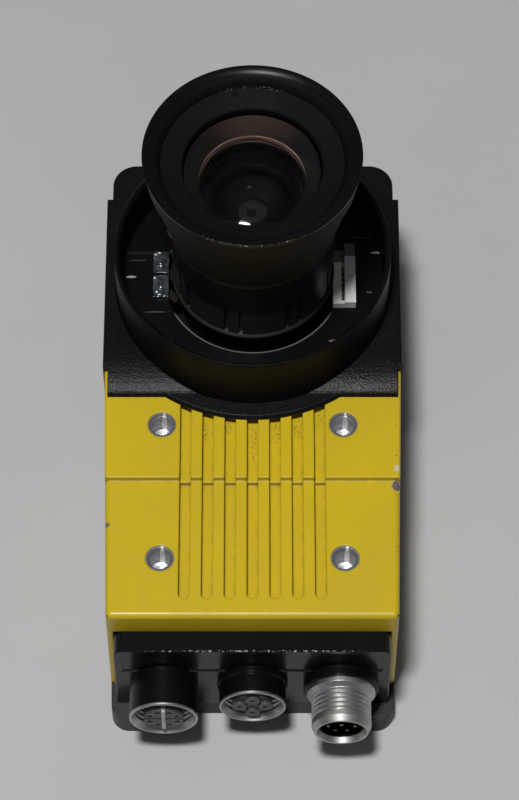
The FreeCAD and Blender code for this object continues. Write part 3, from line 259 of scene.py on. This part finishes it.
def speckle_group():
    """Small spots inside an oval patch: scratches, rubbed dots along an edge, dirt, painted
    glints and highlights.
    """
    tree, given, end = start_group("speckle", [
        ("Place", "Vector", (0, 0, 0)), ("Centre", "Vector", (0, 0, 0)),
        ("Reach", "Vector", (0.001, 0.001, 0.001)), ("Dots", "Float", 2500.0),
        ("Cover", "Float", 0.5)], [("Mask", "Float")])
    apart = vector_node(tree, "SUBTRACT", given["Place"], given["Centre"])
    share = vector_node(tree, "LENGTH", vector_node(tree, "DIVIDE", apart, given["Reach"]))
    return end(Mask=math_node(tree, "MULTIPLY", ramp(tree, share, 1.0, 0.8),
                              dotted(tree, given, 0.57)))


def thread_group():
    """Turns of a screw thread that stands upright: relief that repeats with height."""
    tree, given, end = start_group("thread", [
        ("Place", "Vector", (0, 0, 0)), ("Pitch", "Float", 0.0007)], [("Height", "Float")])
    turns = math_node(tree, "DIVIDE", part_of(tree, given["Place"], "Z"), given["Pitch"])
    return end(Height=math_node(tree, "PINGPONG", turns, 0.5))


GROUPS = {"edge_mask": edge_mask_group(), "grain": grain_group(), "corner_tint": corner_tint_group(),
          "chip": chip_group(), "turning": turning_group(), "wear_and_sheen_band": band_group(),
          "speckle": speckle_group(), "thread": thread_group()}


def use(tree, group, **given):
    node = tree.nodes.new("ShaderNodeGroup")
    node.node_tree = GROUPS[group]
    for label, value in given.items():
        feed(tree, node.inputs[label.replace("_", " ")], value)
    return node.outputs


# ---- finishes --------------------------------------------------------------------------

class Finish:
    """One material: a body colour, then layers over it, each with a mask.

    grain is the size of the surface's grain and relief its depth, mottle the share by which
    the colour varies over mottle_size, edge the radius by which edges look rounded, and
    shine the strength of the plain reflection. Lengths are in metres.
    """

    rough_swing = 0.12      # share by which the roughness varies with the mottling

    def __init__(self, name, colour, rough, metal=0.0, grain=0.0004, relief=0.00002,
                 mottle=0.1, mottle_size=0.012, edge=0.0002, shine=0.5, **shader):
        self.material = bpy.data.materials.new(name)
        self.material.use_nodes = True
        self.tree = self.material.node_tree
        self.tree.nodes.clear()
        self.place = wire(self.tree, "TexCoord").outputs["Object"]
        self.bsdf = wire(self.tree, "BsdfPrincipled", {"Specular IOR Level": shine, **shader})
        self.relief = relief
        self.edge = edge
        body = use(self.tree, "grain", Place=self.place, Size=grain, Mottle_Size=mottle_size)
        dark = tuple(c * (1 - mottle) for c in colour) + (1.0,)
        light = tuple(min(1.0, c * (1 + mottle)) for c in colour) + (1.0,)
        self.colour = blend_colour(self.tree, body["Mottle"], dark, light)
        self.rough = ramp(self.tree, body["Mottle"], 0.0, 1.0,
                          rough * (1 + self.rough_swing), rough * (1 - self.rough_swing))
        self.metal = metal
        self.coat = None
        self.height = body["Height"]

    def mix(self, mask, a, b):
        node = wire(self.tree, "Mix", {"Factor": mask, 2: a, 3: b}, data_type="FLOAT")
        return node.outputs[0]

    def layer(self, mask, colour, rough, lower=0.0):
        """Another finish where the mask is 1: dirt, rubbed paint, a chip, painted shade or a
        painted highlight.
        """
        self.colour = blend_colour(self.tree, mask, self.colour, tuple(colour) + (1.0,))
        self.rough = self.mix(mask, self.rough, rough)
        if lower:
            sunk = math_node(self.tree, "MULTIPLY", mask, lower)
            self.height = math_node(self.tree, "SUBTRACT", self.height, sunk)

    def edge_wear_and_sheen(self, colour, radius=0.0003, amount=0.5, rough=0.4):
        mask = use(self.tree, "edge_mask", Place=self.place, Radius=radius,
                   Amount=amount)["Mask"]
        self.layer(mask, colour, rough)

    def corner_tint(self, colour, reach=0.0015, amount=0.5, rough=0.8):
        mask = use(self.tree, "corner_tint", Place=self.place, Reach=reach, Amount=amount)["Mask"]
        self.layer(mask, colour, rough)

    def chip(self, centre, size, colour, stretch=(1, 1, 1)):
        mask = use(self.tree, "chip", Place=self.place, Centre=centre, Size=size,
                   Stretch=stretch)["Mask"]
        self.layer(mask, colour, rough=0.6, lower=0.6)

    def speckle(self, centre, reach, colour, dots=2500.0, cover=0.5, rough=0.6):
        mask = use(self.tree, "speckle", Place=self.place, Centre=centre, Reach=reach,
                   Dots=dots, Cover=cover)["Mask"]
        self.layer(mask, colour, rough)

    def between(self, axis, start, end):
        """Mask that rises from 0 at one place along an axis to 1 at another."""
        return ramp(self.tree, part_of(self.tree, self.place, axis), start, end)

    def wear_and_sheen_band(self, radius, level, width, colour, side, dots=2500.0, cover=0.5):
        """Line of rubbed wear and painted highlight round the lens axis, on the side of it
        that starts between two places along Y."""
        ring = use(self.tree, "wear_and_sheen_band", Place=self.place, Radius=radius, Level=level,
                   Width=width, Dots=dots, Cover=cover)["Mask"]
        mask = math_node(self.tree, "MULTIPLY", ring, self.between("Y", *side))
        self.layer(mask, colour, rough=0.5)

    def threaded(self, pitch, share=0.8):
        turns = use(self.tree, "thread", Place=self.place, Pitch=pitch)["Height"]
        self.height = self.mix(share, self.height, turns)

    def turned(self, axis, share=0.6):
        """Lathe lines round an axis through the origin."""
        rings = use(self.tree, "turning", Place=self.place, Centre=(0, 0, 0), Axis=axis,
                    Lines=5000.0)["Height"]
        self.height = self.mix(share, self.height, rings)

    def done(self):
        tree, surface = self.tree, self.bsdf.inputs
        feed(tree, surface["Base Color"], self.colour)
        feed(tree, surface["Roughness"], self.rough)
        feed(tree, surface["Metallic"], self.metal)
        if self.coat is not None:
            feed(tree, surface["Coat Weight"], self.coat)
        soft = wire(tree, "Bevel", {"Radius": self.edge}, samples=RAYS).outputs[0]
        bump = wire(tree, "Bump", {"Strength": 1.0, "Distance": self.relief,
                                   "Height": self.height, "Normal": soft})
        feed(tree, surface["Normal"], bump.outputs[0])
        wire(tree, "OutputMaterial", {"Surface": self.bsdf.outputs[0]})
        return self.material


def put_on(material, *names):
    for name in names:
        for slot in NODES[name].material_slots:
            slot.material = material


# ---- housing, lens block, back plate ----------------------------------------------------

HOLE_HALF = 18.45                               # mm, half spacing of the mounting holes
HOLE_ROWS = ((-33.1, 36.0), (-63.3, 34.8))      # mm, place along Y and height of the top

YELLOW = (0.53, 0.385, 0.010)
OLIVE = (0.26, 0.20, 0.008)
RUBBED_YELLOW = (0.60, 0.48, 0.10)
PALE_YELLOW = (0.66, 0.60, 0.26)
GROOVE_DIRT = (0.17, 0.12, 0.01)
EDGE_DIRT = (0.17, 0.11, 0.015)

yellow = Finish("yellow_enamel", YELLOW, 0.35, grain=0.0009, relief=0.00003,
                mottle=0.05, mottle_size=0.02, edge=0.0005, shine=0.4)
# painted shade with dirt: olive in the inner corners along the groove walls
yellow.corner_tint(OLIVE, reach=0.0012, amount=0.9, rough=0.5)
yellow.edge_wear_and_sheen(RUBBED_YELLOW, radius=0.00035, amount=0.32)

# dirt on the groove floors: place across and along, half width and half length, mm
for across, along, wide, long in ((-9.7, -33.5, 1.0, 3.0), (0.3, -36.0, 0.8, 5.0),
                                  (4.9, -33.8, 1.0, 3.2), (9.2, -32.8, 1.0, 2.6),
                                  (-4.9, -33.0, 0.8, 1.8), (13.8, -31.0, 0.8, 2.0)):
    yellow.speckle(mm(across, along, 34.0), mm(wide, long, 2.0), GROOVE_DIRT, dots=2700.0,
                   cover=0.46)
# rubbed spots on the edge at +X: place along and half length, mm
for along, long in ((-33.0, 5.0), (-39.5, 4.0), (-50.0, 3.0), (-60.0, 4.0), (-70.0, 2.5)):
    yellow.speckle(mm(29.1, along, 35.0), mm(0.28, long, 2.0), EDGE_DIRT, dots=1300.0,
                   cover=0.44)
# pale specks on the edge above the connectors: place along and height, mm
for along, high in ((-77.4, 34.0), (-77.0, 33.8)):
    yellow.speckle(mm(0.0, along, high), mm(28.0, 0.3, 0.8), PALE_YELLOW, dots=1400.0,
                   cover=0.40)
# chips on the long edges and the rear corners: centre and size in mm, colour, stretch
for centre, size, colour, stretch in (
        ((29.1, -43.4, 36.0), 0.60, (0.52, 0.45, 0.30), (1.1, 1.4, 1.0)),
        ((29.0, -46.7, 34.8), 1.00, (0.115, 0.105, 0.125), (1.0, 1.35, 1.0)),
        ((-29.2, -55.6, 34.8), 0.62, (0.13, 0.14, 0.09), (1.1, 1.0, 1.0)),
        ((-28.9, -76.0, 34.2), 0.45, (0.10, 0.09, 0.05), (1.0, 1.0, 1.0)),
        ((28.9, -75.8, 34.2), 0.45, (0.12, 0.10, 0.04), (1.0, 1.0, 1.0))):
    yellow.chip(mm(*centre), size * MM, colour, stretch)
put_on(yellow.done(), "finned_housing")


def black_powder(name, colour, rough, shine):
    """Fine textured powder coat, a little rubbed on its edges."""
    finish = Finish(name, colour, rough, grain=0.00036, relief=0.00013, mottle=0.12,
                    mottle_size=0.009, edge=0.0003, shine=shine)
    finish.edge_wear_and_sheen(grey(0.05), radius=0.0004, amount=0.32)
    finish.corner_tint((0.012, 0.011, 0.010), reach=0.002, amount=0.4)
    return finish.done()


put_on(black_powder("black_powder_coat", (0.0026, 0.0026, 0.0030), 0.36, 0.19), "lens_block")
put_on(black_powder("black_plate_coat", (0.024, 0.024, 0.025), 0.45, 0.3), "back_plate")

# mounting inserts: a dull mouth, a brighter wall and a painted highlight, one white streak on
# the thread
insert_metal = Finish("insert_metal", (0.20, 0.20, 0.21), 0.42, metal=0.5, grain=0.0004,
                      relief=0.00022, mottle=0.12, mottle_size=0.003, edge=0.0001)
insert_metal.threaded(0.7 * MM)
for side in (-1, 1):
    for along, top in HOLE_ROWS:
        insert_metal.speckle(mm(side * HOLE_HALF, along, top - 4.3), mm(8.0, 8.0, 4.3),
                             (0.42, 0.42, 0.44), cover=1.3, rough=0.42)
        insert_metal.speckle(mm(side * HOLE_HALF + 0.45, along + 1.0, top - 3.2),
                             mm(0.6, 4.2, 4.2), grey(1.0), dots=2400.0, cover=0.66, rough=0.3)
put_on(insert_metal.done(), "mounting_inserts")

steel = Finish("dark_steel", (0.16, 0.16, 0.165), 0.35, metal=1.0, grain=0.0004,
               relief=0.00001, mottle=0.15, mottle_size=0.002, edge=0.00015)
steel.edge_wear_and_sheen(grey(0.5), radius=0.0002, amount=0.45)
put_on(steel.done(), "back_plate_screws", "inner_plate_screws", "focus_lock_screw")


# ---- collar, the plate inside it and its lights --------------------------------------------

collar_paint = Finish("black_collar_paint", (0.0042, 0.0042, 0.0040), 0.45, grain=0.0009,
                      relief=0.00002, mottle=0.15, edge=0.00025, shine=0.06)
collar_paint.edge_wear_and_sheen(grey(0.06), amount=0.32)
put_on(collar_paint.done(), "cover_collar")

plate_paint = Finish("black_plate_paint", (0.0035, 0.0035, 0.0036), 0.3, grain=0.0012,
                     relief=0.00002, mottle=0.15, edge=0.0002, shine=0.12)
plate_paint.edge_wear_and_sheen(grey(0.04), amount=0.3)
# the mouth of the lens well, near side: a painted highlight on its chamfer, with rubbed wear
plate_paint.wear_and_sheen_band(18.15 * MM, 40.0 * MM, 0.42 * MM, grey(0.15), mm(-8.2, -10.0),
                      dots=700.0, cover=0.85)
# marks, scratches and painted edge highlights: place across and along, half width and half
# length in mm, tone
for across, along, wide, long, tone in (
        (-25.3, 0.5, 1.2, 0.3, 0.30), (25.9, 6.5, 1.6, 0.3, 0.30),
        (-23.9, 4.6, 2.0, 0.15, 0.04), (22.6, 10.0, 2.5, 0.2, 0.10),
        (-20.1, -8.3, 3.2, 0.24, 0.20), (-17.6, -15.6, 1.1, 0.5, 0.25),
        (16.8, -15.5, 1.3, 0.4, 0.10), (24.1, -3.3, 0.7, 0.2, 0.10)):
    plate_paint.speckle(mm(across, along, 40.0), mm(wide, long, 3.0), grey(tone), dots=900.0,
                        cover=0.72, rough=0.4)
put_on(plate_paint.done(), "inner_plate")

white_plastic = Finish("white_moulded_plastic", (0.86, 0.86, 0.82), 0.5, grain=0.0004,
                       relief=0.00003, mottle=0.10, mottle_size=0.003, edge=0.0002)
# painted shade with dirt: darker in its recesses and its slot
white_plastic.corner_tint((0.12, 0.12, 0.10), reach=0.0007, amount=0.8)
# painted shade: its far end, in the shadow of the hood, is grey
white_plastic.layer(white_plastic.between("Y", *mm(4.1, 4.5)), grey(0.10), 0.3)
put_on(white_plastic.done(), "light_connector")

pipe_plastic = Finish("dark_light_pipe", (0.010, 0.009, 0.004), 0.3, grain=0.0004,
                      relief=0.00002, mottle=0.25, mottle_size=0.002, edge=0.00015)
pipe_plastic.edge_wear_and_sheen((0.08, 0.075, 0.045), radius=0.0001, amount=0.35)
put_on(pipe_plastic.done(), "light_pipes")

lamp = Finish("clear_lamp_plastic", (0.030, 0.036, 0.041), 0.12, grain=0.0009, relief=0.00012,
              mottle=0.9, mottle_size=0.0011, edge=0.00025, shine=0.6)
# painted highlights: pale edges on the clear plastic of the lights
lamp.edge_wear_and_sheen((0.55, 0.58, 0.60), radius=0.00025, amount=0.42, rough=0.2)
# glints on top of the lights: place across and along, mm
for across, along in ((-20.2, 4.9), (-19.4, 5.3), (-19.9, -4.3), (-19.3, -4.9), (-20.3, -0.9)):
    lamp.speckle(mm(across, along, 41.5), mm(0.45, 0.3, 0.5), (0.85, 0.88, 0.90),
                 dots=2200.0, cover=0.60, rough=0.2)
put_on(lamp.done(), "indicator_lights")


# ---- lens ------------------------------------------------------------------------------

THROAT_FAR_SIDE = mm(16.8, 17.6)        # along Y, where the painted highlights on the far wall start


def black_anodised(name, shine, rough, colour=grey(0.0038)):
    """Turned and anodised black, a little rubbed on its edges."""
    finish = Finish(name, colour, rough, grain=0.0005, relief=0.00001, mottle=0.1,
                    edge=0.0002, shine=shine)
    finish.turned(LENS_AXIS)
    finish.edge_wear_and_sheen(grey(0.10), radius=0.0002, amount=0.28)
    return finish


# the hood is glossy on its front rim and dull below these heights
hood = black_anodised("black_hood", 0.10, 0.27)
hood.rough = hood.mix(hood.between("Z", *mm(83.7, 83.3)), hood.rough, 0.62)
hood.wear_and_sheen_band(21.65 * MM, 84.2 * MM, 0.18 * MM, grey(0.40), mm(-18.8, -20.2), cover=0.42)
# painted highlight: a dotted line on the far edge of the throat
hood.wear_and_sheen_band(18.3 * MM, 81.6 * MM, 0.16 * MM, grey(0.20), THROAT_FAR_SIDE, cover=0.44)
put_on(hood.done(), "focus_barrel")

put_on(black_anodised("black_barrel", 0.30, 0.30).done(), "name_ring")
put_on(black_anodised("black_iris_ring", 0.30, 0.40, (0.014, 0.0135, 0.012)).done(),
       "iris_ring")
lens_inside = black_anodised("black_lens_inside", 0.12, 0.45, (0.006, 0.006, 0.0058)).done()
put_on(lens_inside, "lens_barrel", "second_retaining_ring", "lens_mount_ring",
       "front_spacer", "rear_spacer", "iris_blades")

keeper = Finish("matt_black_ring", grey(0.0048), 0.62, grain=0.0004, relief=0.00002,
                mottle=0.15, edge=0.0001, shine=0.05)
# painted highlight: a dotted line on its far edge
keeper.wear_and_sheen_band(18.1 * MM, 81.4 * MM, 0.14 * MM, grey(0.20), THROAT_FAR_SIDE, cover=0.44)
keeper.chip(mm(-3.3, 16.7, 81.5), 0.9 * MM, grey(0.001), stretch=(1.2, 0.8, 1.0))
put_on(keeper.done(), "front_retaining_ring")


def coated_glass(name, index, coat):
    """Clear glass; a low index keeps what lies behind it at its own place and size."""
    finish = Finish(name, (0.93, 0.96, 0.94), 0.02, grain=0.004, relief=0.0, mottle=0.02,
                    edge=0.00005, **{"Transmission Weight": 1.0, "IOR": index,
                                     "Coat Weight": coat})
    return finish.done()


put_on(coated_glass("coated_glass", 1.06, 0.2), "front_glass")
put_on(coated_glass("inner_coated_glass", 1.08, 0.08), "second_glass", "rear_glass")

# the painted edge of the front glass; a painted reflection makes it brown on its far side, and
# a painted highlight draws a copper line low on that side
glass_edge = Finish("glass_edge_painted_reflection", (0.012, 0.012, 0.011), 0.5, grain=0.0005,
                    relief=0.00001, mottle=0.1, edge=0.0001, shine=0.1)
glass_edge.layer(glass_edge.between("Y", *mm(7.6, 13.4)), (0.075, 0.044, 0.035), 0.5)
glass_edge.wear_and_sheen_band(10.45 * MM, 74.8 * MM, 0.30 * MM, (0.62, 0.36, 0.30), mm(-1.0, 6.0),
                     cover=1.2)
# painted reflection: the grey-green of the pupil, on the floor of the stop's well
pupil_painted_reflection = Finish("painted_pupil_reflection", (0.05, 0.053, 0.049), 0.4, grain=0.0005,
                    relief=0.00001, mottle=0.15, mottle_size=0.001, edge=0.0001)
dark_window = Finish("dark_window", grey(0.002), 0.2, grain=0.0005,
                     relief=0.00001, mottle=0.1, edge=0.0001)


# ---- connectors, boards and sensor -------------------------------------------------------

# the cap is dull on top and glossy below these heights
plastic = Finish("black_moulded_plastic", grey(0.0042), 0.6, grain=0.0008, relief=0.000006,
                 mottle=0.15, edge=0.0001, shine=0.05, **{"Coat Roughness": 0.2})
plastic.coat = math_node(plastic.tree, "MULTIPLY", plastic.between("Z", *mm(28.15, 28.0)), 0.8)
plastic.speckle(mm(0.0, -80.6, 28.3), mm(25.0, 0.28, 0.35), (0.42, 0.42, 0.40),
                dots=1900.0, cover=0.46, rough=0.5)
put_on(plastic.done(), "connector_cap")

shell_plastic = Finish("black_shell_plastic", grey(0.0024), 0.3, grain=0.0006,
                       relief=0.000008, mottle=0.15, edge=0.00015, shine=0.2)
shell_plastic.edge_wear_and_sheen(grey(0.08), radius=0.0002, amount=0.3)
put_on(shell_plastic.done(), "left_socket_shell", "middle_socket_shell", "right_base_ring",
       "right_pin_insert")

grey_plastic = Finish("grey_moulded_plastic", (0.062, 0.066, 0.066), 0.45, grain=0.0003,
                      relief=0.00002, mottle=0.15, edge=0.0002)
grey_plastic.edge_wear_and_sheen((0.22, 0.22, 0.21), radius=0.0002, amount=0.35)
put_on(grey_plastic.done(), "left_contact_insert", "middle_contact_insert")

nickel = Finish("nickel_plate", (0.46, 0.46, 0.45), 0.42, metal=1.0, grain=0.0006,
                relief=0.00001, mottle=0.12, mottle_size=0.003, edge=0.00012)
nickel.turned(CONNECTOR_AXIS, share=0.5)
nickel.corner_tint((0.10, 0.10, 0.09), reach=0.0007, amount=0.8, rough=0.5)
put_on(nickel.done(), "left_socket_sleeve", "middle_socket_sleeve", "right_plug_shell",
       "left_shield_cross", "board_spacers", "sensor_board_spacers")

contact = Finish("contact_plate", (0.24, 0.21, 0.15), 0.35, metal=1.0, grain=0.0003,
                 relief=0.00001, mottle=0.12, mottle_size=0.002, edge=0.0001)
put_on(contact.done(), "left_contacts", "middle_contacts", "right_pins",
       "light_connector_contacts")

board = Finish("circuit_board", (0.02, 0.10, 0.04), 0.4, grain=0.0005, relief=0.00002,
               mottle=0.2, edge=0.0002)
put_on(board.done(), "sensor_board", "processor_board", "power_board")

sensor = Finish("sensor_cover", (0.04, 0.03, 0.06), 0.1, grain=0.0005, relief=0.00001,
                mottle=0.2, edge=0.0002)
put_on(sensor.done(), "image_sensor")


# ---- pieces inside the lens ------------------------------------------------------------

ROUND_SIDES = 96        # sides of a round piece
FACES_UP = 0.9          # a face whose normal rises more than this looks out of the lens


def finish_piece(piece, name, body, slot, *materials):
    """Apply the piece's place, name it, and say what it rides on."""
    bpy.ops.object.transform_apply(location=True, rotation=True, scale=True)
    piece.name = name
    for material in materials:
        piece.data.materials.append(material)
    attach(piece, body)
    bpy.ops.object.select_all(action="DESELECT")


def select_faces(piece, wanted):
    """In edit mode, leave only the faces selected that the test accepts."""
    bpy.ops.mesh.select_mode(type="FACE")
    bpy.ops.mesh.select_all(action="DESELECT")
    bpy.ops.object.mode_set(mode="OBJECT")
    for polygon in piece.data.polygons:
        polygon.select = wanted(polygon)
    bpy.ops.object.mode_set(mode="EDIT")


def add_glass_edge():
    """The painted slanted edge of the front glass, inside its rim."""
    gap, near_radius, far_radius, rise, thick = mm(0.25, 10.45, 13.6, 3.5, 0.2)
    glass_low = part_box("front_glass")[0][2]
    bpy.ops.mesh.primitive_circle_add(vertices=ROUND_SIDES, radius=near_radius,
                                      fill_type="NOTHING", location=(0, 0, glass_low + gap))
    ring = bpy.context.object
    bpy.ops.object.mode_set(mode="EDIT")
    bpy.ops.mesh.extrude_edges_move(TRANSFORM_OT_translate={"value": (0, 0, rise)})
    widen = far_radius / near_radius
    bpy.ops.transform.resize(value=(widen, widen, 1))
    bpy.ops.mesh.select_all(action="SELECT")
    bpy.ops.mesh.normals_make_consistent(inside=False)
    bpy.ops.object.mode_set(mode="OBJECT")
    wall = ring.modifiers.new("wall", "SOLIDIFY")
    wall.thickness = thick
    wall.offset = 0
    bpy.ops.object.modifier_apply(modifier=wall.name)
    finish_piece(ring, "glass_edge_ring", "front_group", "lens_black", glass_edge.done())


def add_stop():
    """The stop under the second glass, a disc whose paler well is a painted reflection, and
    the dark window in it.
    """
    gap, depth, wide, hole, sink, rim_wide = mm(0.35, 2.2, 8.1, 3.05, 0.9, 0.12)
    window_x, window_y = mm(-0.2, -0.1)
    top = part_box("second_glass")[0][2] - gap
    bpy.ops.mesh.primitive_cylinder_add(vertices=ROUND_SIDES, radius=wide, depth=depth,
                                        location=(0, 0, top - depth / 2))
    stop = bpy.context.object
    bpy.ops.object.mode_set(mode="EDIT")
    select_faces(stop, lambda face: face.normal.z > FACES_UP)
    bpy.ops.mesh.inset(thickness=wide - hole, depth=0)
    bpy.ops.mesh.extrude_region_move(TRANSFORM_OT_translate={"value": (0, 0, -sink)})
    bpy.ops.object.mode_set(mode="OBJECT")
    finish_piece(stop, "lens_stop", "case", "lens_black", lens_inside, pupil_painted_reflection.done())
    for face in stop.data.polygons:
        if face.normal.z > FACES_UP and face.center.z < top - sink / 2:
            face.material_index = 1

    bpy.ops.mesh.primitive_cube_add(size=1.0, location=(window_x, window_y, top - sink))
    window = bpy.context.object
    window.scale = mm(1.75, 1.6, 0.5)
    bpy.ops.object.transform_apply(location=False, rotation=False, scale=True)
    rim = window.modifiers.new("rim", "BEVEL")
    rim.width, rim.segments = rim_wide, 2
    bpy.ops.object.modifier_apply(modifier=rim.name)
    finish_piece(window, "lens_window", "case", "lens_black", dark_window.done())


bpy.ops.object.select_all(action="DESELECT")
add_glass_edge()
add_stop()


# ---- floor, light, camera -------------------------------------------------------------

FLOOR_WIDTH = 4.0
FLOOR_GAP = 0.05 * MM               # under the camera's back
KEY_PLACE = (-0.11, -0.25, 1.1)
KEY_AIM = (0, -0.03, 0.03)
KEY_WIDTH = 0.14
KEY_POWER = 11.0                    # watts
ROOM_LIGHT = 0.11
SENSOR_WIDTH = 36.0                 # mm, as is the next one
FOCAL_LENGTH = 145.2
CAMERA_PLACE = (0.0014, -0.3662, 0.6016)
CAMERA_TILT = 30.934                # degrees from straight down


def add_floor():
    bpy.ops.mesh.primitive_plane_add(size=FLOOR_WIDTH,
                                     location=(0, 0, cad_bounds[0][2] - FLOOR_GAP))
    floor = bpy.context.object
    floor.name = "table"
    pale = Finish("pale_table", grey(0.45), 0.55, grain=0.002, relief=0.00002,
                  mottle=0.03, mottle_size=0.15, edge=0.0001, shine=0.2)
    floor.data.materials.append(pale.done())


def add_softbox():
    data = bpy.data.lights.new("key", "AREA")
    data.shape = "SQUARE"
    data.size = KEY_WIDTH
    data.energy = KEY_POWER
    box = bpy.data.objects.new("key", data)
    bpy.context.scene.collection.objects.link(box)
    box.location = KEY_PLACE
    towards = Vector(KEY_AIM) - Vector(KEY_PLACE)
    box.rotation_euler = towards.to_track_quat("-Z", "Y").to_euler()


def add_camera():
    data = bpy.data.cameras.new("camera")
    data.sensor_width = SENSOR_WIDTH
    data.lens = FOCAL_LENGTH
    camera = bpy.data.objects.new("camera", data)
    bpy.context.scene.collection.objects.link(camera)
    camera.location = CAMERA_PLACE
    camera.rotation_euler = (math.radians(CAMERA_TILT), 0, 0)
    bpy.context.scene.camera = camera


def add_world():
    world = bpy.data.worlds.new("room")
    world.use_nodes = True
    background = world.node_tree.nodes["Background"].inputs
    background["Color"].default_value = (1, 1, 1, 1)
    background["Strength"].default_value = ROOM_LIGHT
    bpy.context.scene.world = world


add_floor()
add_softbox()
add_world()
add_camera()
bpy.context.scene.view_settings.view_transform = "Standard"
